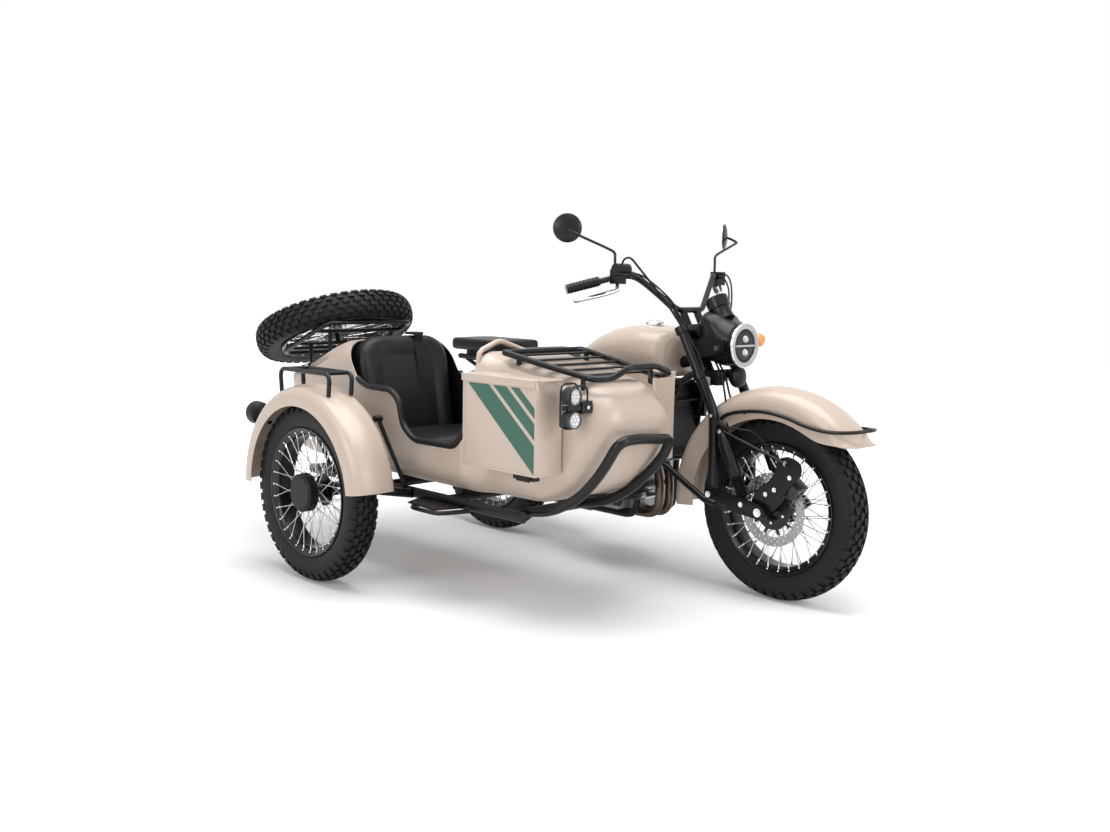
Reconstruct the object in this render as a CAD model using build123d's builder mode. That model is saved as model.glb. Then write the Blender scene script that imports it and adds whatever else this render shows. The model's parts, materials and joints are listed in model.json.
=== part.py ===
from build123d import *
from math import cos, degrees, pi, radians, sin
import os

os.makedirs("parts", exist_ok=True)

# A motorcycle with a sidecar on its right, standing on its three wheels. Lengths are millimetres.
# Pieces are drawn with x forward from the rear axle, y to the left from the motorcycle's middle
# plane and z up from the ground, and keep() moves them to the middle of the outfit's footprint.

# Wheels and the places they stand
WHEELBASE = 1515.0
SIDECAR_LEAD = 250.0        # the sidecar axle ahead of the rear axle
SIDECAR_TRACK = 1101.0      # sidecar wheel's middle plane from the motorcycle's
TYRE_RADIUS = 328.0
TYRE_HALF_WIDTH = 55.0
TREAD_HALF_WIDTH = 24.0
BEAD_RADIUS = 234.0
BEAD_HALF_WIDTH = 43.0
SIDEWALL_RADIUS = 284.0
SHOULDER_RADIUS = 315.0
SHOULDER_HALF_WIDTH = 46.0
RIM_WELL_RADIUS = 204.0
RIM_WELL_HALF_WIDTH = 30.0
RIM_HALF_WIDTH = 49.0
SEAT_GAP = 0.3              # between a piece and what it rests on
SPOKES = 20                 # on each side of a wheel
SPOKE_RADIUS = 1.9
HUB_RADIUS = 33.0
HUB_HALF_WIDTH = 36.0
HUB_FLANGE_RADIUS = 58.0
HUB_FLANGE_THICKNESS = 6.0
SPOKE_LACING = 34.0         # degrees a spoke leads or trails between flange and rim
AXLE_RADIUS = 9.0
BEARING_GAP = 0.3
DISC_RADIUS = 132.0
DISC_BORE = 92.0
DISC_THICKNESS = 5.0
DISC_OFFSET = 61.0
DISC_BOSS_RADIUS = 45.0
RIM_EDGE = 4.0
CAP_RADIUS = 71.0
CAP_SIDES = 12
CAP_OUT = 74.0              # the sidecar hub's cover, out from the wheel's middle plane
STUB_LENGTH = 60.0

# Steering head and front fork
RAKE = 28.8                 # degrees from upright
HEAD_LOW = (1169.0, 0.0, 764.0)
HEAD_LENGTH = 160.0
HEAD_RADIUS = 27.0
STEM_RADIUS = 14.0
FORK_AHEAD = 44.0           # the fork tubes' plane ahead of the steering axis
FORK_Y = 112.0
FORK_RADIUS = 19.0
PIVOT = (1296.0, 360.0)     # x and z of the leading link's pivot
SHOCK_TOP = (1326.0, 588.0)
SHOCK_LOW = (1441.0, 345.0)
ARM_Y = 132.0
ARM_THICKNESS = 14.0

# Sidecar
TUB_Y = -630.0
TUB_WALL = 4.0
TUB_HALF = 250.0            # half width at the cockpit
NOSE_HALF = 215.0           # half width between the side cases
CASE_REAR = 905.0
CASE_FRONT = 1255.0
CASE_LOW = 500.0
CASE_HIGH = 800.0
CASE_OUT = 330.0            # outer face from the tub's middle plane
CASE_WALL = 3.0
LID_SKIRT = 22.0
LID_WALL = 2.5
SPARE_CENTRE = (-311.0, TUB_Y - 15.0, 887.0)
SPARE_TILT = 22.5

# The model's origin is the middle of the footprint
REAR_END = -640.0
FRONT_END = 1868.0
RIGHT_END = -1190.0
LEFT_END = 500.0
TO_ORIGIN = Location((-(REAR_END + FRONT_END) / 2, -(RIGHT_END + LEFT_END) / 2, 0))


def keep(piece, name):
    """Move a finished piece to the model's origin, name it and write it."""
    piece.part = piece.part.moved(TO_ORIGIN)
    piece.part.label = name
    export_step(piece.part, f"parts/{name}.step")


BEND_STEP = 30.0            # degrees that each short straight of a bend turns


def flat_sided(sections, closed=False):
    """A solid skinned with flat faces between sections, which are equal lists of points."""
    faces = []
    pairs = list(zip(sections, sections[1:]))
    if closed:
        pairs.append((sections[-1], sections[0]))
    else:
        faces.append(Face(Wire.make_polygon(sections[0])))
        faces.append(Face(Wire.make_polygon(sections[-1])))
    for first, second in pairs:
        for number, corner in enumerate(first):
            after = (number + 1) % len(first)
            a, b, c, d = (Vector(*p) for p in (corner, first[after], second[after], second[number]))
            if abs((b - a).cross(c - a).dot(d - a)) < 1e-3:
                faces.append(Face(Wire.make_polygon([a, b, c, d])))
            else:
                faces.append(Face(Wire.make_polygon([a, b, c])))
                faces.append(Face(Wire.make_polygon([a, c, d])))
    return Solid(Shell(faces))


def tube(points, bends, radius, sides=8):
    """Add a tube along straight runs with tangent bends to the piece being made."""
    with BuildLine() as arcs:
        FilletPolyline(*points, radius=bends)
    route = [Vector(*points[0])]
    for edge in arcs.wire().order_edges():
        steps = 1
        if edge.geom_type == GeomType.CIRCLE:
            steps = max(2, round(degrees(edge.length / edge.radius) / BEND_STEP))
        for step in range(1, steps + 1):
            route.append(edge @ (step / steps))
    frame = Plane(origin=route[0], z_dir=route[1] - route[0])
    ring = []
    for number in range(sides):
        a = 2 * pi * number / sides
        ring.append(frame.from_local_coords(Vector(radius * cos(a), radius * sin(a), 0)))
    rings = [ring]
    for number in range(1, len(route)):
        along = (route[number] - route[number - 1]).normalized()
        mitre = along
        if number < len(route) - 1:
            mitre = along + (route[number + 1] - route[number]).normalized()
        ring = [p + along * ((route[number] - p).dot(mitre) / along.dot(mitre)) for p in ring]
        rings.append(ring)
    add(flat_sided(rings))


def rod(start, end, radius, sides=8, mode=Mode.ADD):
    """Add a straight bar to the piece being made; more than 12 sides makes it round."""
    along = Vector(*end) - Vector(*start)
    with BuildSketch(Plane(origin=start, z_dir=along)) as section:
        if sides > 12:
            Circle(radius)
        else:
            RegularPolygon(radius, sides)
    extrude(section.sketch, amount=along.length, mode=mode)


def knuckle(hinge, y_low, y_high, radius):
    """Add one round barrel of a hinge that turns about y at (x, z)."""
    rod((hinge[0], y_low, hinge[1]), (hinge[0], y_high, hinge[1]), radius, 16)


def slab(plane, outline, amount, mode=Mode.ADD):
    """Add a flat piece with straight sides, drawn on a plane and pulled along its normal."""
    with BuildSketch(plane) as face:
        with BuildLine():
            Polyline(*outline, close=True)
        make_face()
    extrude(face.sketch, amount=amount, mode=mode)


def side_plate(outline, y, thickness, mode=Mode.ADD):
    """Add a plate whose outline lies in the x-z plane, from y towards -y."""
    slab(Plane.XZ.offset(-y), outline, thickness, mode)


def block(x, y, z, mode=Mode.ADD):
    """Add a box between pairs of x, y and z values."""
    with Locations(((x[0] + x[1]) / 2, (y[0] + y[1]) / 2, (z[0] + z[1]) / 2)):
        Box(x[1] - x[0], y[1] - y[0], z[1] - z[0], mode=mode)


def mirrored(points, middle=0.0):
    """The same route on the other side of the upright plane y = middle."""
    return [(x, 2 * middle - y, z) for x, y, z in points]


def arc_points(centre, radius, start, end, steps):
    """Points in x and z along an arc, with angles in degrees from forward to up."""
    points = []
    for number in range(steps + 1):
        a = radians(start + (end - start) * number / steps)
        points.append((centre[0] + radius * cos(a), centre[1] + radius * sin(a)))
    return points


# Tyres and spoked wheels, drawn about the z axis and then turned into place

def wheel_place(x, y, z=TYRE_RADIUS):
    """A wheel's own frame, with its axle along +y."""
    return Location(Plane(origin=(x, y, z), x_dir=(1, 0, 0), z_dir=(0, 1, 0)))


FRONT_PLACE = wheel_place(WHEELBASE, 0)
REAR_PLACE = wheel_place(0, 0)
SIDECAR_PLACE = wheel_place(SIDECAR_LEAD, -SIDECAR_TRACK)
SPARE_PLANE = Plane(
    origin=SPARE_CENTRE,
    x_dir=(cos(radians(SPARE_TILT)), 0, sin(radians(SPARE_TILT))),
    z_dir=(-sin(radians(SPARE_TILT)), 0, cos(radians(SPARE_TILT))),
)
SPARE_PLACE = Location(SPARE_PLANE)

# Rings are drawn with this many flats, which keeps them light
RING_SIDES = 48
HUB_SIDES = 20
DISC_SIDES = 36


def flat_ring(profile):
    """A ring about z with flat sides, from a closed profile of (height, radius) points."""
    sections = []
    for number in range(RING_SIDES):
        a = 2 * pi * number / RING_SIDES
        sections.append([(radius * cos(a), radius * sin(a), height) for height, radius in profile])
    return flat_sided(sections, closed=True)


def both_sides(profile):
    """A profile and its mirror image across the wheel's middle plane, joined into one loop."""
    return profile + [(-height, radius) for height, radius in reversed(profile)]


TYRE_PROFILE = [
    (BEAD_HALF_WIDTH, BEAD_RADIUS),
    (TYRE_HALF_WIDTH, SIDEWALL_RADIUS),
    (SHOULDER_HALF_WIDTH, SHOULDER_RADIUS),
    (TREAD_HALF_WIDTH, TYRE_RADIUS),
]
RIM_PROFILE = [
    (RIM_WELL_HALF_WIDTH, RIM_WELL_RADIUS),
    (RIM_HALF_WIDTH, BEAD_RADIUS - RIM_EDGE),
    (RIM_HALF_WIDTH, BEAD_RADIUS - SEAT_GAP),
]
round_tyre = flat_ring(both_sides(TYRE_PROFILE))
round_rim = flat_ring(both_sides(RIM_PROFILE))


def spoke_planes(side, lead):
    """The frames that half of one side's spokes start from, and a spoke's length."""
    planes = []
    step = 2 * pi / SPOKES
    swing = radians(SPOKE_LACING) * lead
    shift = 0 if lead > 0 else step
    for number in range(0, SPOKES, 2):
        a = number * step + shift
        foot = Vector(
            (HUB_FLANGE_RADIUS - 4) * cos(a),
            (HUB_FLANGE_RADIUS - 4) * sin(a),
            side * (HUB_HALF_WIDTH - HUB_FLANGE_THICKNESS / 2),
        )
        head = Vector(
            (RIM_WELL_RADIUS + 6) * cos(a + swing),
            (RIM_WELL_RADIUS + 6) * sin(a + swing),
            side * RIM_WELL_HALF_WIDTH,
        )
        planes.append(Plane(origin=foot, z_dir=head - foot))
        length = (head - foot).length
    return planes, length


# Rim, two rows of crossed spokes and a flanged hub, as one piece
with BuildPart() as spoked:
    add(round_rim)
    with BuildSketch(Plane.XY.offset(-HUB_HALF_WIDTH)):
        RegularPolygon(HUB_RADIUS, 12)
    extrude(amount=2 * HUB_HALF_WIDTH)
    with BuildSketch(
        Plane.XY.offset(-HUB_HALF_WIDTH),
        Plane.XY.offset(HUB_HALF_WIDTH - HUB_FLANGE_THICKNESS),
    ):
        RegularPolygon(HUB_FLANGE_RADIUS, HUB_SIDES)
    extrude(amount=HUB_FLANGE_THICKNESS)
    for side in (-1, 1):
        for lead in (-1, 1):
            planes, length = spoke_planes(side, lead)
            with BuildSketch(*planes):
                RegularPolygon(SPOKE_RADIUS, 3)
            extrude(amount=length)

with BuildPart() as front_wheel:
    add(spoked.part)
    with BuildSketch(Plane.XY.offset(-DISC_OFFSET)):
        RegularPolygon(DISC_RADIUS, DISC_SIDES)
        RegularPolygon(DISC_BORE, DISC_SIDES, mode=Mode.SUBTRACT)
        RegularPolygon(HUB_FLANGE_RADIUS, HUB_SIDES)
        with PolarLocations((DISC_BORE + HUB_FLANGE_RADIUS) / 2, 5):
            Rectangle(DISC_BORE - HUB_FLANGE_RADIUS + 14, 16)
    extrude(amount=DISC_THICKNESS)
    with BuildSketch(Plane.XY.offset(-DISC_OFFSET)):
        RegularPolygon(DISC_BOSS_RADIUS, 12)
    extrude(amount=DISC_OFFSET - HUB_HALF_WIDTH)

with BuildPart() as sidecar_wheel:
    add(spoked.part)
    with BuildSketch(Plane.XY.offset(-CAP_OUT)):
        RegularPolygon(CAP_RADIUS, CAP_SIDES)
    extrude(amount=CAP_OUT - HUB_HALF_WIDTH)
    with BuildSketch(Plane.XY.offset(-STUB_LENGTH)):
        Circle(AXLE_RADIUS + BEARING_GAP)
    extrude(amount=STUB_LENGTH + HUB_HALF_WIDTH, mode=Mode.SUBTRACT)

with BuildPart() as plain_wheel:
    add(spoked.part)

for holed in (front_wheel, plain_wheel):
    with holed:
        with BuildSketch(Plane.XY.offset(-DISC_OFFSET)):
            Circle(AXLE_RADIUS + BEARING_GAP)
        extrude(amount=2 * DISC_OFFSET, mode=Mode.SUBTRACT)

# columns: name, wheel, place
WHEELS = [
    ("front", front_wheel, FRONT_PLACE),
    ("rear", plain_wheel, REAR_PLACE),
    ("sidecar", sidecar_wheel, SIDECAR_PLACE),
    ("spare", plain_wheel, SPARE_PLACE),
]
for name, wheel, place in WHEELS:
    with BuildPart() as tyre:
        add(round_tyre.moved(place))
    keep(tyre, f"{name}_tyre")
    with BuildPart() as placed:
        add(wheel.part.moved(place))
    keep(placed, f"{name}_wheel")


# Steering unit. Its frame stands on the steering axis with x forward and z up the axis.
STEER = Plane(
    origin=HEAD_LOW,
    x_dir=(cos(radians(RAKE)), 0, sin(radians(RAKE))),
    z_dir=(-sin(radians(RAKE)), 0, cos(radians(RAKE))),
)
FENDER_HALF = 88.0
YOKE_THICKNESS = 25.0
YOKE_GAP = 3.0
CLAMP_RADIUS = 26.0
LUG_RADIUS = 22.0
LUG_OUT = FORK_Y + FORK_RADIUS
ARM_IN = LUG_OUT + SEAT_GAP
SHOCK_Y = (109.0, 130.7)

with BuildPart() as fork:
    for level in (-YOKE_THICKNESS, HEAD_LENGTH):
        yoke = [(-30, -26), (-30, 26), (22, FORK_Y), (66, FORK_Y), (66, -FORK_Y), (22, -FORK_Y)]
        slab(STEER.offset(level), yoke, YOKE_THICKNESS)
        with BuildSketch(STEER.offset(level)) as clamps:
            with Locations((FORK_AHEAD, FORK_Y), (FORK_AHEAD, -FORK_Y)):
                RegularPolygon(CLAMP_RADIUS, 10)
        extrude(clamps.sketch, amount=YOKE_THICKNESS)
    with BuildSketch(STEER.offset(-YOKE_THICKNESS)) as stem:
        Circle(STEM_RADIUS)
    extrude(stem.sketch, amount=HEAD_LENGTH + 2 * YOKE_THICKNESS)
    for side in (-1, 1):
        y = side * FORK_Y
        tube([(1120, y, 946), (1284, y, 646), (1292, y, 365)], 120, FORK_RADIUS, 12)
        lug = (PIVOT[0], side * (FORK_Y - FORK_RADIUS), PIVOT[1])
        rod(lug, (PIVOT[0], side * LUG_OUT, PIVOT[1]), LUG_RADIUS, 12)
        inner = min(side * 100, side * (SHOCK_Y[0] - SEAT_GAP))
        shape = [(1280, 620), (1326, 608), (1342, 590), (1326, 572), (1280, 560)]
        side_plate(shape, inner + SHOCK_Y[0] - SEAT_GAP - 100, SHOCK_Y[0] - SEAT_GAP - 100)
        rod((1283, side * 108, 615), (1283, side * (FENDER_HALF + SEAT_GAP), 615), 8)
keep(fork, "fork")

LOOP_Y = ARM_IN + 13.0
with BuildPart() as leading_arm:
    arm = [(1274, 352), (1284, 382), (1308, 382), (1441, 367)]
    arm += [(1515, 354), (1542, 328), (1515, 302), (1300, 326)]
    for side in (-1, 1):
        outer = side * (ARM_IN + ARM_THICKNESS / 2) + ARM_THICKNESS / 2
        side_plate(arm, outer, ARM_THICKNESS)
    rod((WHEELBASE, -ARM_IN - 20, TYRE_RADIUS), (WHEELBASE, ARM_IN + 20, TYRE_RADIUS), AXLE_RADIUS, 16)
    rod((WHEELBASE, -ARM_IN, TYRE_RADIUS), (WHEELBASE, -DISC_OFFSET - 1, TYRE_RADIUS), 15, 12)
    rod((WHEELBASE, HUB_HALF_WIDTH + 1, TYRE_RADIUS), (WHEELBASE, ARM_IN, TYRE_RADIUS), 15, 12)
    loop = [(1330, -LOOP_Y, 330), (1280, -LOOP_Y, 338), (1060, -LOOP_Y, 456)]
    tube(loop + mirrored(loop)[::-1], 40, 12, 10)
    plate = [(1500, 336), (1530, 312), (1585, 372), (1640, 470), (1628, 516), (1606, 516), (1560, 420)]
    side_plate(plate, -110, 8)
keep(leading_arm, "leading_arm")

with BuildPart() as caliper:
    turn = radians(52)
    for reach, width, y_from, amount, mode in (
        (128, 50, -38, 71.7, Mode.ADD),
        (116, 42, -53, 11, Mode.SUBTRACT),
    ):
        axle = (WHEELBASE, y_from, TYRE_RADIUS)
        plane = Plane(origin=axle, x_dir=(cos(turn), 0, sin(turn)), z_dir=(0, -1, 0))
        with BuildSketch(plane) as pad:
            with Locations((reach, 0)):
                Rectangle(width, 90 if mode == Mode.ADD else 100)
        extrude(pad.sketch, amount=amount, mode=mode)
keep(caliper, "brake_caliper")

with BuildPart() as torque_rod:
    rod((1340, -124.4, 588), (1612, -124.4, 505), 6)
keep(torque_rod, "torque_rod")

with BuildPart() as front_shocks:
    low = Vector(SHOCK_LOW[0], 0, SHOCK_LOW[1])
    top = Vector(SHOCK_TOP[0], 0, SHOCK_TOP[1])
    for side in (-1, 1):
        y = side * 120.0
        foot = low + Vector(0, y, 0)
        head = top + Vector(0, y, 0)
        for end in (SHOCK_LOW, SHOCK_TOP):
            rod((end[0], side * SHOCK_Y[0], end[1]), (end[0], side * SHOCK_Y[1], end[1]), 13, 12)
        rod(foot, head, 8)
        rod(foot + (head - foot) * 0.2, foot + (head - foot) * 0.88, 20, 16)
keep(front_shocks, "front_shocks")

# Front fender: a crowned strip over the wheel with long skirts
FENDER_CENTRE = (1497.0, 328.0)
FENDER_RADIUS = 428.0
FENDER_WALL = 3.0


def fender(centre, radius, skirt, sides, angles, steps):
    """Add a fender over a wheel: a crown and two skirts, open towards the wheel."""
    low, high = sides
    band = arc_points(centre, radius, angles[0], angles[1], steps)
    band += arc_points(centre, skirt, angles[1], angles[0], steps)
    side_plate(band, high, high - low)
    wide = arc_points(centre, radius - FENDER_WALL, angles[0] - 20, angles[1] + 20, steps + 4)
    side_plate(wide + [centre], high - FENDER_WALL, high - low - 2 * FENDER_WALL, Mode.SUBTRACT)


def fender_room(centre, radius, sides, angles, steps):
    """Cut a piece back to the seat gap from a fender's outside."""
    low, high = sides
    band = arc_points(centre, radius + SEAT_GAP, angles[0], angles[1], steps)
    side_plate(band + [centre], high + SEAT_GAP, high - low + 2 * SEAT_GAP, Mode.SUBTRACT)


REAR_FENDER_RADIUS = 392.0
SIDE_FENDER_RADIUS = 392.0
SIDE_FENDER_Y = (-1188.0, -1015.0)

with BuildPart() as front_fender:
    fender(FENDER_CENTRE, FENDER_RADIUS, 318, (-FENDER_HALF, FENDER_HALF), (38, 186), 22)
    block((1720, 1900), (-90, 90), (500, 583), Mode.SUBTRACT)
keep(front_fender, "front_fender")

with BuildPart() as fender_bar:
    side = -(FENDER_HALF + 8 + SEAT_GAP)
    half = [(1304, side, 632), (1400, side, 665), (1620, side, 665), (1780, side, 628), (1852, side, 642)]
    tube(half + mirrored(half)[::-1], [60, 60, 60, 40, 40, 60, 60, 60], 8)
keep(fender_bar, "fender_bar")

# Headlamp, its brackets, the turn lamps and the instrument above it
LAMP = (1325.0, 0.0, 887.0)
LAMP_RADIUS = 80.0
LENS_RADIUS = 73.0
with BuildPart() as headlamp:
    rings = []
    for x, radius in ((1238, 34), (1262, 62), (1300, LAMP_RADIUS), (LAMP[0], LAMP_RADIUS)):
        ring = arc_points((0, LAMP[2]), radius, 0, 345, 23)
        rings.append([(x, y, z) for y, z in ring])
    add(flat_sided(rings))
    rod((LAMP[0] - 5, 0, LAMP[2]), (LAMP[0] + 1, 0, LAMP[2]), LENS_RADIUS + SEAT_GAP, 16, Mode.SUBTRACT)
    bracket_y = FORK_Y - FORK_RADIUS - SEAT_GAP
    for side in (-1, 1):
        outer = side * (bracket_y - 3) + 3
        side_plate([(1150, 885), (1180, 835), (1225, 845), (1300, 865), (1300, 909), (1215, 912)], outer, 6)
        rod((1290, side * 60, LAMP[2]), (1290, side * 150, LAMP[2]), 7)
        rod((1290, side * 148, LAMP[2] + 8), (1335, side * 148, LAMP[2] + 8), 20, 12)
    rod((1266, 0, 930), (1212, 0, 1010), 9)
    rod((1215, 0, 1000), (1187, 0, 1050), 42, 16)
keep(headlamp, "headlamp")

with BuildPart() as headlamp_lens:
    rod((LAMP[0] - 4.7, 0, LAMP[2]), (LAMP[0] + 4, 0, LAMP[2]), LENS_RADIUS, 16)
keep(headlamp_lens, "headlamp_lens")

LEVER_RADIUS = 6.0
with BuildPart() as handlebar:
    half = [(858, -430, 1077), (986, -235, 1138), (1067, -70, 1006)]
    tube(half + mirrored(half)[::-1], 45, 11, 10)
    for side in (-1, 1):
        foot = STEER.from_local_coords(Vector(24, side * 40, HEAD_LENGTH + YOKE_THICKNESS + SEAT_GAP))
        rod(tuple(foot), (1064, side * 40, 1005), 14)
        rod((918, side * 338, 1107), (852, side * 439, 1075), 17, 12)
        block((945, 985), (side * 290 - 22, side * 290 + 22), (1098, 1150))
        rod((960, side * 288, 1102), (964, side * 292, 1074), LEVER_RADIUS)
        rod((966, side * 288, 1077), (903, side * 440, 1034), LEVER_RADIUS)
    rod((985, -262, 1150), (985, -326, 1150), 22, 12)
keep(handlebar, "handlebar")

MIRROR_RADIUS = 52.0
MIRROR_THICKNESS = 16.0
with BuildPart() as mirrors:
    for side in (-1, 1):
        stem = [(948, side * 290, 1150.4), (948, side * 290, 1215), (862, side * 450, 1262)]
        tube(stem, 20, 5, 6)
        plane = Plane(origin=(858, side * 450, 1296), x_dir=(0, 0, 1), z_dir=(1, side, 0))
        with BuildSketch(plane) as glass:
            RegularPolygon(MIRROR_RADIUS, 16)
        extrude(glass.sketch, amount=MIRROR_THICKNESS)
keep(mirrors, "mirrors")

with BuildPart() as brake_hose:
    hose = [(985, -290, 1172.6), (1000, -290, 1215), (1130, -215, 1040), (1230, -145, 860)]
    hose += [(1330, -156, 612), (1450, -104, 600), (1613, -80, 464)]
    tube(hose, [22, 45, 45, 45, 45], 4, 6)
keep(brake_hose, "brake_hose")

# Motorcycle frame and what hangs on it
with BuildPart() as bike_frame:
    with BuildSketch(STEER.offset(YOKE_GAP)) as head:
        Circle(HEAD_RADIUS)
    extrude(head.sketch, amount=HEAD_LENGTH - 2 * YOKE_GAP)
    rod((1125, 0, 830), (640, 0, 712), 22, 12)
    rod((640, -112, 712), (640, 112, 712), 16, 10)
    for side in (-1, 1):
        cradle = [(1138, side * 26, 786), (964, side * 95, 656), (935, side * 110, 420)]
        cradle += [(925, side * 110, 215)]
        cradle += [(400, side * 110, 215), (400, side * 112, 560), (640, side * 112, 712)]
        tube(cradle, [60, 60, 50, 50, 90], 13, 10)
        tube([(640, side * 100, 712), (420, side * 100, 745), (-150, side * 100, 762)], 60, 12)
        rod((390, side * 100, 560), (-100, side * 100, 752), 9)
        side_plate([(365, 215), (440, 215), (440, 470), (365, 470)], side * 112 + 4, 8)
        rod((950, side * 110, 600), (987.7, side * 110, 600), 6)
        rod((930, side * 116, 480), (987.7, side * 116, 480), 6)
        rod((402, side * 95, 430), (402, side * 116, 430), 24, 12)
        block((158, 182), sorted((side * 104, side * 117.7)), (682, 752))
    for x, z in ((925, 330), (420, 245), (-120, 762)):
        rod((x, -105, z), (x, 105, z), 10)
    for x, z in ((660, 776.4), (980, 839.7)):
        block((x, x + 4), (-20, 20), (z - 70, z))
    rod((-120, 0, 762), (-120, 0, 690), 9)
    block((895 + SEAT_GAP, 925), (-30, 30), (322, 338))
    for x, z in ((-100, 790), (400, 775)):
        block((x, x + 20), (-105, 105), (z - 45, z - SEAT_GAP))
    fender_room((0, TYRE_RADIUS), REAR_FENDER_RADIUS, (-80, 80), (62, 168), 15)
    with BuildSketch(STEER) as bore:
        Circle(STEM_RADIUS + BEARING_GAP)
    extrude(bore.sketch, amount=HEAD_LENGTH, mode=Mode.SUBTRACT)
keep(bike_frame, "bike_frame")

with BuildPart() as engine:
    block((560, 895), (-92, 92), (236, 420))
    block((580, 880), (-165, 165), (240, 400))
    slab(Plane.XZ.offset(-110), [(690, 400), (880, 400), (885, 690), (700, 690)], 220)
    block((680, 905), (-115, 115), (600, 680))
    rod((740, -190, 320), (740, -160, 320), 78, 16)
    rod((700, 160, 320), (700, 192, 320), 70, 16)
    for z in (440, 468, 496, 524, 552):
        block((684, 892), (-120, 120), (z, z + 10))
keep(engine, "engine")

with BuildPart() as radiator:
    block((992, 1024), (-128, 128), (455, 640))
    for y in (-132, 114):
        block((988, 1027), (y, y + 18), (450, 645))
keep(radiator, "radiator")

with BuildPart() as exhaust:
    for y in (-64, -6):
        header = [(905 + SEAT_GAP, y, 640), (935, y, 640), (962, y, 450), (1000, y, 372)]
        header += [(1000, y, 186), (620, y, 186)]
        tube(header, [24, 60, 60, 60], 17, 10)
    block((600, 660), (-84, 14), (160, 196))
    pipe = [(640, -36, 172), (520, -20, 162), (430, 190, 162), (330, 212, 300), (300, 212, 319)]
    tube(pipe, [60, 60, 30], 22, 10)
    rod((330, 212, 315), (-180, 218, 385), 50, 16)
keep(exhaust, "exhaust")

# columns: x, half width, lowest, highest, corner radius
TANK = [
    (545, 55, 762, 815, 22),
    (640, 95, 750, 880, 55),
    (780, 130, 748, 928, 80),
    (900, 148, 748, 942, 88),
    (1002, 134, 752, 928, 80),
    (1044, 84, 772, 888, 50),
]


def long_body(rows, middle, grow=0.0, facets=3):
    """Add a body lofted through round-cornered sections across x, all grown by one amount."""
    sections = []
    for number, (x, half, low, high, corner) in enumerate(rows):
        end = -grow if number == 0 else grow if number == len(rows) - 1 else 0
        radius = max(corner + grow, 1)
        reach = half + grow - radius
        outline = []
        for turn, y, z in (
            (0, reach, high + grow - radius),
            (90, -reach, high + grow - radius),
            (180, -reach, low - grow + radius),
            (270, reach, low - grow + radius),
        ):
            outline += arc_points((middle + y, z), radius, turn, turn + 90, facets)
        sections.append([(x + end, y, z) for y, z in outline])
    add(flat_sided(sections))


with BuildPart() as fuel_tank:
    long_body(TANK, 0)
    tunnel = [(500, 700), (500, 745), (1005, 845), (1005, 960), (1120, 960), (1120, 700)]
    side_plate(tunnel, 40, 80, Mode.SUBTRACT)
    rod((896, 0, 941), (896, 0, 945), 40.0, 16)
keep(fuel_tank, "fuel_tank")

with BuildPart() as filler_cap:
    rod((896, 0, 945.3), (896, 0, 962), 36, 16)
keep(filler_cap, "filler_cap")

# columns: name, x range, y half width, z range
SEATS = [
    ("rider_seat", (235, 535), 140, (775, 822)),
    ("pillion_seat", (-190, 130), 120, (790, 846)),
]
for name, x, half, z in SEATS:
    with BuildPart() as pad:
        block(x, (-half, half), z)
        chamfer(pad.edges().group_by(Axis.Z)[-1], 14)
    keep(pad, name)

with BuildPart() as rear_bodywork:
    fender((0, TYRE_RADIUS), REAR_FENDER_RADIUS, 340, (-80, 80), (62, 168), 15)
keep(rear_bodywork, "rear_fender")

with BuildPart() as side_covers:
    for side in (-1, 1):
        side_plate([(330, 700), (560, 690), (600, 560), (420, 470), (345, 520)], side * 133 + 3, 6)
        rod((480, side * 125.6, 620), (480, side * 131, 620), 10)
keep(side_covers, "side_covers")

with BuildPart() as rear_suspension:
    pivot = (402, 430)
    rod((pivot[0], -94.7, pivot[1]), (pivot[0], 94.7, pivot[1]), 18, 12)
    for side in (-1, 1):
        rod((pivot[0], side * 76, pivot[1]), (-40, side * 76, 319), 15, 10)
        rod((60, side * 82, 350), (60, side * 140, 350), 12, 10)
        rod((170, side * 118, 690), (170, side * 140, 690), 12, 10)
        rod((60, side * 130, 350), (170, side * 130, 690), 9)
        rod((80, side * 130, 412), (150, side * 130, 628), 20, 14)
    rod((0, -100, TYRE_RADIUS), (0, 100, TYRE_RADIUS), AXLE_RADIUS, 16)
keep(rear_suspension, "rear_suspension")

with BuildPart() as tail_lamp:
    block((-372, -344), (-45, 45), (535, 590))
    block((-350, -310), (-25, 25), (545, 580))
    fender_room((0, TYRE_RADIUS), REAR_FENDER_RADIUS, (-80, 80), (62, 168), 15)
keep(tail_lamp, "tail_lamp")

# Sidecar body. columns: x, half width, lowest, highest, corner radius
TUB = [
    (-300, 226, 650, 718, 25),
    (-270, 238, 474, 731, 60),
    (-200, 250, 392, 759, 80),
    (88, TUB_HALF, 376, 863, 90),
    (800, TUB_HALF, 372, 867, 90),
    (890, NOSE_HALF, 374, 852, 85),
    (1090, NOSE_HALF, 377, 817, 80),
    (1180, NOSE_HALF, 400, 801, 80),
    (1288, 205, 465, 782, 80),
    (1345, 172, 527, 772, 72),
    (1380, 150, 580, 700, 52),
    (1400, 128, 640, 668, 12),
]
BULKHEAD = (84.0, 89.0)
COCKPIT = [
    (92, 1000),
    (92, 866),
    (187, 722),
    (246, 700),
    (396, 698),
    (445, 666),
    (472, 574),
    (535, 530),
    (765, 533),
    (815, 590),
    (842, 700),
    (842, 1000),
]
LID_EDGE = [(-330, 700), (-215, 722), (-90, 760), (-28.5, 790), (-28.5, 1000), (-330, 1000)]
LID_GAP = 3.0
HINGE = (-25.0, 832.0)
HINGE_RADIUS = 6.0
TUB_ACROSS = (TUB_Y + 300, 600.0)

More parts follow.
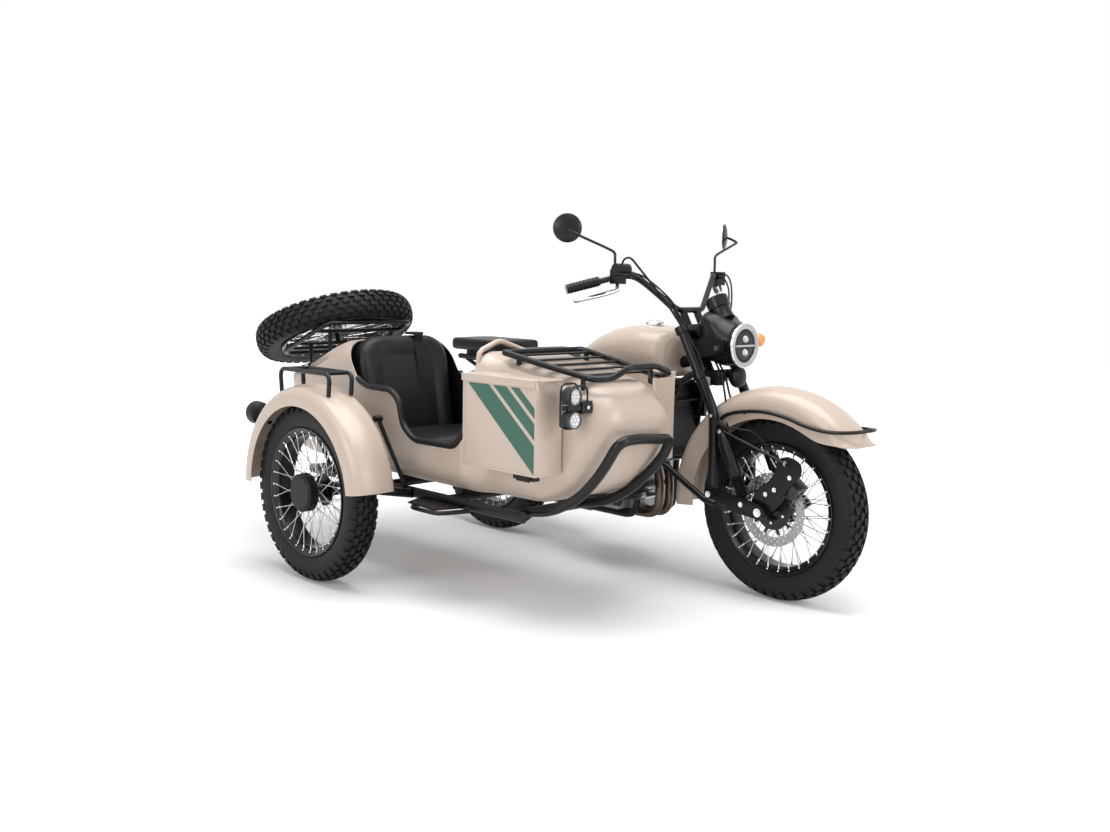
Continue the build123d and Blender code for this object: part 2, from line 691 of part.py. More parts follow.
with BuildPart() as tub_outer:
    long_body(TUB, TUB_Y)
with BuildPart() as tub_inner:
    long_body(TUB, TUB_Y, -TUB_WALL)
    block(BULKHEAD, (-1000, -300), (300, 900), Mode.SUBTRACT)
with BuildPart() as tub_room:
    long_body(TUB, TUB_Y, SEAT_GAP)

NOSE_SEAM = 890.0           # where the nose panel meets the cockpit tub
HINGE_OFF = 120.0           # each hinge from the tub's middle plane
HINGE_HALF = 25.0

with BuildPart() as sidecar_tub:
    add(tub_outer.part)
    add(tub_inner.part, mode=Mode.SUBTRACT)
    side_plate(COCKPIT, *TUB_ACROSS, Mode.SUBTRACT)
    side_plate([(x + LID_GAP, z - LID_GAP) for x, z in LID_EDGE], *TUB_ACROSS, Mode.SUBTRACT)
    for side in (-1, 1):
        middle = TUB_Y + side * HINGE_OFF
        for off in (-HINGE_HALF, HINGE_HALF - 14):
            block((HINGE[0], 12), (middle + off, middle + off + 14), (824, HINGE[1]))
            knuckle(HINGE, middle + off, middle + off + 14, HINGE_RADIUS)
with BuildPart() as sidecar_nose:
    add(sidecar_tub.part)
    block((NOSE_SEAM + SEAT_GAP, 1500), (-1000, -300), (300, 950), Mode.INTERSECT)
with sidecar_tub:
    block((NOSE_SEAM, 1500), (-1000, -300), (300, 950), Mode.SUBTRACT)
keep(sidecar_tub, "sidecar_tub")
keep(sidecar_nose, "sidecar_nose")

with BuildPart() as boot_lid:
    add(tub_outer.part)
    add(tub_inner.part, mode=Mode.SUBTRACT)
    side_plate(LID_EDGE, *TUB_ACROSS, Mode.INTERSECT)
    for side in (-1, 1):
        middle = TUB_Y + side * HINGE_OFF
        reach = HINGE_HALF - 14 - SEAT_GAP
        block((-60, HINGE[0] - 4), (middle - reach, middle + reach), (806, HINGE[1]))
        knuckle(HINGE, middle - reach, middle + reach, HINGE_RADIUS)
keep(boot_lid, "boot_lid")

# Spare wheel rack on the boot lid, in the spare wheel's own tilted frame
RACK_LEVEL = -TYRE_HALF_WIDTH - 10.3


def from_spare(point):
    """A point given in the spare wheel's frame."""
    return tuple(SPARE_PLANE.from_local_coords(Vector(*point)))


with BuildPart() as spare_rack:
    for end in (-118, 250):
        half = [(66, -205), (end, -205), (end, 205), (66, 205)]
        tube([from_spare((x, y, RACK_LEVEL)) for x, y in half], 45, 10)
    for x in (-60, 0, 150):
        rod(from_spare((x, -205, RACK_LEVEL)), from_spare((x, 205, RACK_LEVEL)), 8)
    rod(from_spare((0, 0, RACK_LEVEL)), from_spare((0, 0, HUB_HALF_WIDTH + 16)), AXLE_RADIUS, 16)
    rod(from_spare((0, 0, HUB_HALF_WIDTH + SEAT_GAP)), from_spare((0, 0, HUB_HALF_WIDTH + 10)), 22, 6)
    for x, z in ((-286, 826), (-147, 883)):
        for off in (-150, 150):
            rod((x, TUB_Y + off, z - 120), (x, TUB_Y + off, z), 8)
    add(tub_room.part, mode=Mode.SUBTRACT)
keep(spare_rack, "spare_rack")

with BuildPart() as sidecar_seat:
    shape = [(89.3, 850), (100, 856), (126, 884), (156, 880), (222, 524)]
    shape += [(545, 528), (566, 510), (566, 458), (89.3, 458)]
    side_plate(shape, TUB_Y + 226, 452)
    for side in (-1, 1):
        corner = [(150, 900), (150, 856), (186, 842), (214, 800), (214, 740), (240, 740), (240, 900)]
        slab(Plane.YZ.offset(88), [(TUB_Y + side * y, z) for y, z in corner], 37, Mode.SUBTRACT)
        corner = [(170, 900), (170, 858), (200, 842), (224, 800), (224, 740), (240, 740), (240, 900)]
        slab(Plane.YZ.offset(124), [(TUB_Y + side * y, z) for y, z in corner], 70, Mode.SUBTRACT)
keep(sidecar_seat, "sidecar_seat")

with BuildPart() as cockpit_trim:
    for side in (-1, 1):
        y = TUB_Y + side * (TUB_HALF - TUB_WALL / 2)
        rim = [(192, y, 733), (251, y, 711), (399, y, 709), (454, y, 673)]
        rim += [(482, y, 586), (541, y, 542.5), (762, y, 544.5)]
        tube(rim, [30, 40, 40, 30, 40], 8)
keep(cockpit_trim, "cockpit_trim")

# Side cases against the nose, with lids hinged along their front edge
CASE_IN = NOSE_HALF + SEAT_GAP
CASE_HINGE = (CASE_FRONT + 6.0, CASE_HIGH)
CASE_HINGE_RADIUS = 5.0
LID_OVERHANG = 4.0
for name, side in (("right", -1), ("left", 1)):
    near, far = sorted((TUB_Y + side * CASE_IN, TUB_Y + side * CASE_OUT))
    middle = (near + far) / 2
    with BuildPart() as case:
        block((CASE_REAR, CASE_FRONT), (near, far), (CASE_LOW, CASE_HIGH))
        inside = ((CASE_REAR + CASE_WALL, CASE_FRONT - CASE_WALL), (near + CASE_WALL, far - CASE_WALL))
        block(*inside, (CASE_LOW + CASE_WALL, CASE_HIGH), Mode.SUBTRACT)
        for off in (-45, 25):
            leaf = (CASE_HIGH - 14, CASE_HIGH - 4)
            block((CASE_FRONT - 1, CASE_HINGE[0]), (middle + off, middle + off + 20), leaf)
            knuckle(CASE_HINGE, middle + off, middle + off + 20, CASE_HINGE_RADIUS)
    keep(case, f"case_{name}")
    with BuildPart() as lid:
        wide = (near - LID_OVERHANG, far) if side < 0 else (near, far + LID_OVERHANG)
        top = CASE_HIGH + SEAT_GAP
        block((CASE_REAR - LID_OVERHANG, CASE_FRONT - 1), wide, (CASE_HIGH - LID_SKIRT, top + LID_WALL))
        hollow = (near - 1, far + 1)
        block((CASE_REAR - 1, CASE_FRONT + 9), hollow, (CASE_HIGH - LID_SKIRT, top), Mode.SUBTRACT)
        block((CASE_FRONT - 10, CASE_HINGE[0]), (middle - 24, middle + 24), (top, top + LID_WALL))
        knuckle(CASE_HINGE, middle - 24, middle + 24, CASE_HINGE_RADIUS)
    keep(lid, f"case_lid_{name}")

with BuildPart() as sidecar_fender:
    centre = (SIDECAR_LEAD, TYRE_RADIUS)
    fender(centre, SIDE_FENDER_RADIUS, 315, SIDE_FENDER_Y, (7, 180), 26)
    inner = arc_points(centre, 345, 0, 345, 24)
    side_plate(inner, -1010, 12, Mode.SUBTRACT)
keep(sidecar_fender, "sidecar_fender")

with BuildPart() as fender_rail:
    for y in (-1140, -1050):
        tube([(75, y, 660), (75, y, 765), (400, y, 765), (400, y, 660)], 28, 8)
    for x in (120, 355):
        rod((x, -1140, 765), (x, -1050, 765), 6)
    fender_room((SIDECAR_LEAD, TYRE_RADIUS), SIDE_FENDER_RADIUS, SIDE_FENDER_Y, (7, 180), 26)
keep(fender_rail, "fender_rail")

with BuildPart() as sidecar_lamp:
    rod((-172, -1101, 580), (-136, -1101, 580), 36, 16)
    rod((-140, -1101, 575), (-62, -1101, 544), 9)
    fender_room((SIDECAR_LEAD, TYRE_RADIUS), SIDE_FENDER_RADIUS, SIDE_FENDER_Y, (7, 180), 26)
keep(sidecar_lamp, "sidecar_lamp")

RACK_HOLES = 240.0          # between the two luggage bolts in the middle slat
RACK_HOLE_RADIUS = 3.5
with BuildPart() as nose_rack:
    near = [(1140, TUB_Y - 172, 834), (1325, TUB_Y - 148, 803)]
    near += [(1352, TUB_Y - 90, 806), (1382, TUB_Y - 50, 842)]
    tube(near + mirrored(near, TUB_Y)[::-1], [30, 20, 20, 20, 20, 30], 9)
    back = [(1140, TUB_Y - 172, 834), (943, TUB_Y - 185, 866)]
    tube(back + mirrored(back, TUB_Y)[::-1], 35, 9)
    for x in (990, 1060, 1130, 1200, 1270):
        z = 866 - (x - 943) * 0.163
        half = 182 - (x - 990) * 0.1
        block((x - 15, x + 15), (TUB_Y - half, TUB_Y + half), (z - 3, z + 3))
    for x in (990, 1290):
        z = 866 - (x - 943) * 0.163
        for off in (-160, 160):
            rod((x, TUB_Y + off, 730), (x, TUB_Y + off, z), 8)
    for off in (-RACK_HOLES / 2, RACK_HOLES / 2):
        rod((1130, TUB_Y + off, 820), (1130, TUB_Y + off, 850), RACK_HOLE_RADIUS, 16, Mode.SUBTRACT)
    add(tub_room.part, mode=Mode.SUBTRACT)
keep(nose_rack, "nose_rack")

with BuildPart() as grab_handle:
    tube([(850, -838, 720), (838, -838, 862), (822, -730, 898), (824, -610, 858)], [30, 60], 9.5)
    add(tub_room.part, mode=Mode.SUBTRACT)
keep(grab_handle, "grab_handle")

with BuildPart() as aux_lamps:
    for z in (757, 684):
        rod((1300, -882, z), (1352, -882, z), 31, 16)
    rod((1322, -882, 650), (1322, -882, 792), 7)
    block((1312, 1332), (-890, -790), (712, 728))
    tube([(1322, -915, 652), (1322, -915, 792), (1322, -840, 792), (1322, -840, 720)], 20, 5, 6)
    add(tub_room.part, mode=Mode.SUBTRACT)
keep(aux_lamps, "aux_lamps")

CHASSIS_Z = 335.0
with BuildPart() as sidecar_frame:
    for y in (-860, -400):
        rod((-150, y, CHASSIS_Z), (1100, y, CHASSIS_Z), 19, 12)
    for x in (-150, 330, 700):
        rod((x, -862, CHASSIS_Z), (x, -398, CHASSIS_Z), 16, 10)
    front = [(1040, -862, CHASSIS_Z), (1040, -330, CHASSIS_Z), (1060, -200, 333), (940, -136, 330)]
    tube(front, [60, 40], 18, 12)
    block((905, 962), (-152, -123.6), (300, 360))
    rear = [(330, -400, CHASSIS_Z), (330, -250, CHASSIS_Z), (405, -180, 300), (405, -131, 290)]
    tube(rear, [50, 30], 16, 12)
    tube([(640, -400, CHASSIS_Z), (640, -330, 470), (640, -200, 690), (640, -131, 712)], [60, 60], 13, 10)
    rod((520, -870, CHASSIS_Z), (250, -985, 330), 20, 12)
    rod((250, -970, TYRE_RADIUS), (250, -1030, TYRE_RADIUS), 26, 12)
    rod((250, -1000, TYRE_RADIUS), (250, -1150, TYRE_RADIUS), AXLE_RADIUS, 16)
    for x in (14, 486):
        rod((x, -870, CHASSIS_Z), (x, -998, 610), 8)
        rod((x, -985, 610), (x, SIDE_FENDER_Y[1] + SEAT_GAP, 610), 12)
    for x in (330, 700):
        block((x - 10, x + 10), (TUB_Y - 150, TUB_Y + 150), (CHASSIS_Z, CHASSIS_Z + 60))
    add(tub_room.part, mode=Mode.SUBTRACT)
keep(sidecar_frame, "sidecar_frame")

with BuildPart() as bumper_loop:
    leg = [(1040, -785, 336), (1150, -785, 354), (1275, -785, 415), (1375, -785, 515), (1462, -785, 640)]
    tube(leg + mirrored(leg, TUB_Y)[::-1], [80, 80, 80, 45, 45, 80, 80, 80], 16, 12)
    rod((1040, -900, CHASSIS_Z), (1040, -350, CHASSIS_Z), 18 + SEAT_GAP, 16, Mode.SUBTRACT)
    block((900, 1040), (-900, -350), (300, 380), Mode.SUBTRACT)
keep(bumper_loop, "bumper_loop")

with BuildPart() as footboard:
    shape = [(583, -878.7), (629, -975), (794, -989), (825, -878.7)]
    slab(Plane.XY.offset(327), shape, 4)
    tube([(655, -884, 321), (655, -994, 321), (818, -994, 321), (850, -884, 321)], 40, 8)
keep(footboard, "footboard")
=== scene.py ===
import json
from math import cos, pi, radians, sin, sqrt

import bmesh
import bpy
from mathutils import Matrix, Vector

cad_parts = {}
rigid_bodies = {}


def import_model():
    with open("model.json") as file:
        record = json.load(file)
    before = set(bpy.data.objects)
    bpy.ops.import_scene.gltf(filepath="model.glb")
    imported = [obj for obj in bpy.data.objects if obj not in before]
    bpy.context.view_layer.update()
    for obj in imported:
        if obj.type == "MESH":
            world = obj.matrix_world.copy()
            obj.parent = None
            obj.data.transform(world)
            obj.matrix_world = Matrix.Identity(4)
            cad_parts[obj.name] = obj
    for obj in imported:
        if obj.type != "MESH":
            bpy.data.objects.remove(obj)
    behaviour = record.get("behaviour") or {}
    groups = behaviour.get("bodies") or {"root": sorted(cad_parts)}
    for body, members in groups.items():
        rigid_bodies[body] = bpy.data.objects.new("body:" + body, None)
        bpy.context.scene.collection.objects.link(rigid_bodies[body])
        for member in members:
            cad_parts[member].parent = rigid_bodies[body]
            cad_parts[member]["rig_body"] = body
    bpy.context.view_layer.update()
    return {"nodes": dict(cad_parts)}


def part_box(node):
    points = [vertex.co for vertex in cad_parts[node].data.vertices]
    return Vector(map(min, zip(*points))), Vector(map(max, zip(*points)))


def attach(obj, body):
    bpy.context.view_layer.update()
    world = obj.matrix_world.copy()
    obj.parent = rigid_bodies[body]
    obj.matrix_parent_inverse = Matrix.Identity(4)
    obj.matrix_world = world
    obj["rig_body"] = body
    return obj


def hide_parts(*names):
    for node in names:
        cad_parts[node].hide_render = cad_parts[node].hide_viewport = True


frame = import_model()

# Lengths below are millimetres with x forward from the rear axle, y left from the motorcycle's
# middle plane and z up from the ground. TO_ROW turns them into metres about the model's origin.
SHIFT = Vector((-614.0, 345.0, 0.0))
MM = 0.001
TO_ROW = Matrix.Scale(MM, 4) @ Matrix.Translation(SHIFT)

WHEELBASE = 1515.0
SIDECAR_LEAD = 250.0
SIDECAR_TRACK = 1101.0
AXLE_HEIGHT = 328.0
TUB_Y = -630.0
SPARE = (-311.0, TUB_Y - 15.0, 887.0)
SPARE_TILT = radians(22.5)
SIDECAR_FENDER_Y = -1101.5
FRONT_FENDER_X = 1497
BOOT_HINGE_X, BOOT_HINGE_Z = -25, 832
BOOT_HINGE_OFF = 120        # each boot hinge from the tub's middle plane
CASE_REAR, CASE_LENGTH = 905, 350
CASE_TOP, CASE_HEIGHT = 800, 300
CASE_FACE_Y = -960.4        # the right case's outer face


# Finishes

GRAIN_DEPTH = 0.0006        # metres


def set_inputs(node, **values):
    """Set a node's inputs, each named with an underscore for a space."""
    for name, value in values.items():
        node.inputs[name.replace("_", " ")].default_value = value


def add_node(tree, kind, **values):
    node = tree.nodes.new("ShaderNode" + kind)
    set_inputs(node, **values)
    return node


def finish_of(
    name, colour, rough, metal=0.0, coat=0.0, grain=0.0, grain_size=300.0, mottle=0.0, shine=0.5,
):
    """A finish with one colour, and if asked a fine grain and a slight mottling of its gloss."""
    made = bpy.data.materials.new(name)
    made.use_nodes = True
    tree = made.node_tree
    surface = tree.nodes["Principled BSDF"]
    set_inputs(
        surface, Base_Color=(*colour, 1), Roughness=rough, Metallic=metal, Coat_Weight=coat,
        Coat_Roughness=0.25, Specular_IOR_Level=shine,
    )
    made.diffuse_color = (*colour, 1)
    if not grain and not mottle:
        return made
    place = add_node(tree, "TexCoord")
    if grain:
        noise = add_node(tree, "TexNoise", Scale=grain_size, Detail=3)
        bump = add_node(tree, "Bump", Strength=grain, Distance=GRAIN_DEPTH)
        tree.links.new(place.outputs["Object"], noise.inputs["Vector"])
        tree.links.new(noise.outputs["Fac"], bump.inputs["Height"])
        tree.links.new(bump.outputs["Normal"], surface.inputs["Normal"])
    if mottle:
        cloud = add_node(tree, "TexNoise", Scale=9, Detail=4)
        low, high = max(rough - mottle, 0.05), min(rough + mottle, 1)
        spread = add_node(tree, "MapRange", To_Min=low, To_Max=high)
        tree.links.new(place.outputs["Object"], cloud.inputs["Vector"])
        tree.links.new(cloud.outputs["Fac"], spread.inputs["Value"])
        tree.links.new(spread.outputs["Result"], surface.inputs["Roughness"])
    return made


SAND = finish_of(
    "shown_sand_paint", (0.445, 0.360, 0.298), 0.33, coat=0.25, grain=0.04, grain_size=900,
    mottle=0.05,
)
BLACK = finish_of(
    "shown_black_paint", (0.004, 0.004, 0.0045), 0.3, grain=0.08, grain_size=700, mottle=0.05,
    shine=0.28,
)
RIM_BLACK = finish_of("shown_wheel_black", (0.0035, 0.0035, 0.004), 0.24, shine=0.4)
RUBBER = finish_of(
    "shown_tyre_rubber", (0.0062, 0.0062, 0.0066), 0.6, grain=0.25, grain_size=500, mottle=0.08,
    shine=0.25,
)
LEATHER = finish_of(
    "shown_black_leather", (0.0035, 0.0035, 0.004), 0.42, grain=0.6, grain_size=420, mottle=0.07,
    shine=0.28,
)
ALLOY = finish_of(
    "shown_engine_alloy", (0.30, 0.30, 0.31), 0.45, metal=0.9, grain=0.3, grain_size=600,
)
HEADER = finish_of("shown_header_steel", (0.12, 0.085, 0.062), 0.3, metal=0.9, mottle=0.08)
MUFFLER = finish_of("muffler_black", (0.02, 0.02, 0.021), 0.42, metal=0.2, grain=0.1)
GREY = finish_of("lamp_grey", (0.07, 0.07, 0.075), 0.4, metal=0.3)
CHROME = finish_of("shown_chrome", (0.75, 0.75, 0.76), 0.12, metal=1.0)
STEEL = finish_of("shown_raw_steel", (0.55, 0.55, 0.55), 0.28, metal=1.0)
DARK_ALLOY = finish_of("shown_dark_alloy", (0.03, 0.03, 0.032), 0.35, metal=0.6)
PLASTIC = finish_of(
    "shown_black_plastic", (0.006, 0.006, 0.0065), 0.45, grain=0.2, grain_size=800, shine=0.2,
)
HOSE = finish_of("shown_hose_rubber", (0.005, 0.005, 0.005), 0.5, shine=0.2)
RED = finish_of("shown_red_lens", (0.42, 0.012, 0.012), 0.15, coat=0.6)
AMBER = finish_of("amber_lens", (0.75, 0.24, 0.02), 0.2, coat=0.5)
GREEN = finish_of("green_stripe", (0.009, 0.080, 0.050), 0.4, coat=0.1)
DISC_STEEL = finish_of("disc_steel", (0.36, 0.36, 0.365), 0.34, metal=1.0)
MIRROR = finish_of("mirror_glass", (0.85, 0.86, 0.87), 0.03, metal=1.0)
GLASS = finish_of("shown_lamp_glass", (0.42, 0.44, 0.46), 0.06, metal=0.55, coat=0.8)
LED = finish_of("lamp_ring", (0.30, 0.31, 0.34), 0.18, coat=0.6)
set_inputs(
    LED.node_tree.nodes["Principled BSDF"], Emission_Color=(0.9, 0.95, 1, 1), Emission_Strength=0.05
)


# Making pieces

def everything(mesh):
    return mesh.verts[:] + mesh.edges[:] + mesh.faces[:]


def mesh_data(name, mesh):
    """Mesh data from a bmesh, which is freed."""
    data = bpy.data.meshes.new(name)
    mesh.to_mesh(data)
    mesh.free()
    return data


def add_object(name, data):
    made = bpy.data.objects.new(name, data)
    bpy.context.scene.collection.objects.link(made)
    return made


def put(name, mesh, finish, body, nodes=(), angle=40, in_mm=True):
    """Turn a bmesh into an object that rides on a body, smooth but for edges over angle degrees."""
    if in_mm:
        bmesh.ops.transform(mesh, matrix=TO_ROW, verts=mesh.verts)
    bmesh.ops.recalc_face_normals(mesh, faces=mesh.faces)
    limit = radians(angle)
    for face in mesh.faces:
        face.smooth = True
    for edge in mesh.edges:
        if len(edge.link_faces) == 2 and edge.calc_face_angle(0) > limit:
            edge.smooth = False
    data = mesh_data(name, mesh)
    finishes = finish if isinstance(finish, (list, tuple)) else [finish]
    for one in finishes:
        data.materials.append(one)
    made = add_object(name, data)
    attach(made, body)
    if nodes:
        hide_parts(*nodes)


def own_axes(origin, z_dir, x_dir=(1, 0, 0)):
    """A matrix that stands a piece drawn about z at an origin, with its z along z_dir."""
    z = Vector(z_dir).normalized()
    y = z.cross(Vector(x_dir)).normalized()
    x = y.cross(z)
    turned = Matrix((x, y, z)).transposed().to_4x4()
    return Matrix.Translation(Vector(origin)) @ turned


def facing_ahead(x, y, z):
    return own_axes((x, y, z), (1, 0, 0), (0, 1, 0))


def polar(radius, angle, height=0.0):
    return Vector((radius * cos(angle), radius * sin(angle), height))


def lathe(mesh, profile, place, steps=72):
    """Add a turned piece from a closed profile of (height, radius) points."""
    old = set(mesh.verts)
    made = [mesh.verts.new((radius, 0, height)) for height, radius in profile]
    edges = [mesh.edges.new((made[n], made[(n + 1) % len(made)])) for n in range(len(made))]
    bmesh.ops.spin(
        mesh, geom=made + edges, cent=(0, 0, 0), axis=(0, 0, 1), angle=2 * pi, steps=steps,
        use_merge=True,
    )
    bmesh.ops.transform(mesh, matrix=place, verts=[v for v in mesh.verts if v not in old])


def both_ways(half, first=1):
    """A profile and its mirror image in height, without the points on the middle plane twice."""
    return half + [(-height, radius) for height, radius in reversed(half[first:-1])]


def disc(mesh, radius, thickness, place, sides=24, top=None):
    """Add a round bar or disc that starts at the place's origin and runs along its z."""
    shift = place @ Matrix.Translation((0, 0, thickness / 2))
    bmesh.ops.create_cone(
        mesh, cap_ends=True, segments=sides, radius1=radius, radius2=radius if top is None else top,
        depth=thickness, matrix=shift,
    )


def bar(mesh, first, second, radius, sides=10):
    """Add a straight round bar between two points."""
    a, b = Vector(first), Vector(second)
    side = (0, 0, 1) if abs((b - a).normalized().z) < 0.9 else (1, 0, 0)
    disc(mesh, radius, (b - a).length, own_axes(a, b - a, side), sides)


def brick(mesh, x, y, z):
    """Add a box between pairs of x, y and z values."""
    middle = Vector(((x[0] + x[1]) / 2, (y[0] + y[1]) / 2, (z[0] + z[1]) / 2))
    size = Matrix.Diagonal((x[1] - x[0], y[1] - y[0], z[1] - z[0], 1))
    bmesh.ops.create_cube(mesh, size=1, matrix=Matrix.Translation(middle) @ size)


def dot(mesh, centre, radius, sides=8):
    bmesh.ops.create_uvsphere(
        mesh, u_segments=sides, v_segments=sides // 2 + 1, radius=radius,
        matrix=Matrix.Translation(centre),
    )


def skin(mesh, rings, closed_ring=True, caps=True):
    """Join equal rings of points into a surface, with its ends closed if asked."""
    rows = [[mesh.verts.new(p) for p in ring] for ring in rings]
    count = len(rows[0])
    for first, second in zip(rows, rows[1:]):
        for n in range(count if closed_ring else count - 1):
            m = (n + 1) % count
            mesh.faces.new((first[n], first[m], second[m], second[n]))
    if caps:
        mesh.faces.new(rows[0][::-1])
        mesh.faces.new(rows[-1])


def sweep(mesh, points, radius, sides=8):
    """Add a round tube along a line of points."""
    line = [Vector(p) for p in points]
    across = (line[1] - line[0]).orthogonal().normalized()
    rings = []
    for n, point in enumerate(line):
        before = line[max(n - 1, 0)]
        after = line[min(n + 1, len(line) - 1)]
        along = (after - before).normalized()
        across = (across - along * across.dot(along)).normalized()
        other = along.cross(across)
        ring = []
        for k in range(sides):
            a = 2 * pi * k / sides
            ring.append(point + across * radius * cos(a) + other * radius * sin(a))
        rings.append(ring)
    skin(mesh, rings)


def eased(points, steps=8):
    """A smooth line through points."""
    line = [Vector(p) for p in points]
    out = []
    for n in range(len(line) - 1):
        a = line[max(n - 1, 0)]
        b, c = line[n], line[n + 1]
        d = line[min(n + 2, len(line) - 1)]
        for k in range(steps):
            t = k / steps
            out.append(
                0.5 * (
                    2 * b + (c - a) * t + (2 * a - 5 * b + 4 * c - d) * t * t
                    + (3 * b - a - 3 * c + d) * t ** 3
                )
            )
    out.append(line[-1])
    return out


def bent(points, bend, steps=6):
    """The line through points with its corners bent round."""
    line = [Vector(p) for p in points]
    out = [line[0]]
    for a, b, c in zip(line, line[1:], line[2:]):
        reach = min(bend, (a - b).length * 0.48, (c - b).length * 0.48)
        p, q = b + (a - b).normalized() * reach, b + (c - b).normalized() * reach
        for k in range(steps + 1):
            t = k / steps
            out.append(p * (1 - t) ** 2 + b * 2 * t * (1 - t) + q * t * t)
    return out + [line[-1]]


def coil(mesh, low, high, radius, wire, turns, steps=14):
    """Add a coil spring between two points."""
    axis = Vector(high) - Vector(low)
    place = own_axes(low, axis, (0, 1, 0))
    count = int(turns * steps)
    line = []
    for n in range(count + 1):
        a = 2 * pi * n / steps
        line.append(place @ polar(radius, a, axis.length * n / count))
    sweep(mesh, line, wire, 6)


def from_cad(name, finish, angle, soften):
    """Show a CAD piece with clean shading and, if asked, softened edges."""
    source = frame["nodes"][name]
    mesh = bmesh.new()
    mesh.from_mesh(source.data)
    bmesh.ops.remove_doubles(mesh, verts=mesh.verts, dist=0.00002)
    bmesh.ops.dissolve_limit(mesh, angle_limit=radians(0.5), verts=mesh.verts, edges=mesh.edges)
    if soften:
        sharp = [
            e for e in mesh.edges
            if len(e.link_faces) == 2 and e.calc_face_angle(0) > radians(60)
            and e.calc_length() > soften * 3 * MM
        ]
        bmesh.ops.bevel(
            mesh, geom=sharp, offset=soften * MM, offset_type="OFFSET", segments=2, profile=0.5,
            affect="EDGES", clamp_overlap=True, material=-1,
        )
    put(name + "_shown", mesh, finish, source["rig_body"], [name], angle, in_mm=False)


# Wheels

def wheel_frame(x, y, z=AXLE_HEIGHT):
    return own_axes((x, y, z), (0, 1, 0), (1, 0, 0))


SPARE_FRAME = own_axes(
    SPARE, (-sin(SPARE_TILT), 0, cos(SPARE_TILT)), (cos(SPARE_TILT), 0, sin(SPARE_TILT))
)
# columns: name, frame, body, what sits in the hub
WHEELS = [
    ("front", wheel_frame(WHEELBASE, 0), "front_wheel_set", "disc"),
    ("rear", wheel_frame(0, 0), "rear_wheel_set", "plain"),
    ("sidecar", wheel_frame(SIDECAR_LEAD, -SIDECAR_TRACK), "sidecar_wheel_set", "cap"),
    ("spare", SPARE_FRAME, "boot_lid_set", "plain"),
]
PITCHES = 46                # tread blocks around a tyre
LACED = 30                  # spokes on each side of a wheel
RIM_STEPS = 96


def tread_block(mesh, place, angle, height, radius, size, lean, skew):
    """One rubber block: size is (around, across, deep), lean tips it outwards, skew turns it."""
    local = (
        Matrix.Rotation(angle, 4, "Z")
        @ Matrix.Translation((radius, 0, height))
        @ Matrix.Rotation(lean, 4, "Y")
        @ Matrix.Rotation(skew, 4, "X")
        @ Matrix.Diagonal((size[2], size[0], size[1], 1))
    )
    bmesh.ops.create_cube(mesh, size=1, matrix=place @ local)


def tyre(name, place, body):
    mesh = bmesh.new()
    half = [
        (40, 233), (43, 234), (47, 240), (51, 256), (53, 274), (53, 290), (49, 301), (43, 308.5),
        (30, 314.5), (15, 318), (0, 319),
    ]
    lathe(mesh, both_ways(half, 0), place, RIM_STEPS)
    # columns: height, radius of the block's middle, (around, across, deep), lean, skew, phase
    rows = [
        (10.2, 322.2, (26, 15, 11), 0.08, 0.22, 0.0),
        (-10.2, 322.2, (26, 15, 11), -0.08, -0.22, 0.5),
        (29.0, 317.4, (26, 15, 12), 0.38, -0.10, 0.55),
        (-29.0, 317.4, (26, 15, 12), -0.38, 0.10, 0.05),
        (44.6, 308.2, (27, 14, 11), 0.80, 0.0, 0.05),
        (-44.6, 308.2, (27, 14, 11), -0.80, 0.0, 0.55),
    ]
    for n in range(PITCHES):
        for height, radius, size, lean, skew, phase in rows:
            angle = 2 * pi * (n + phase) / PITCHES
            tread_block(mesh, place, angle, height, radius, size, -lean, skew)
        for side in (-1, 1):
            angle = 2 * pi * (n + (0.05 if side > 0 else 0.55)) / PITCHES
            tread_block(mesh, place, angle, side * 50.6, 297, (19, 5, 17), side * 0.12, 0)
    put(f"{name}_tyre_shown", mesh, RUBBER, body, [f"{name}_tyre"], 38)


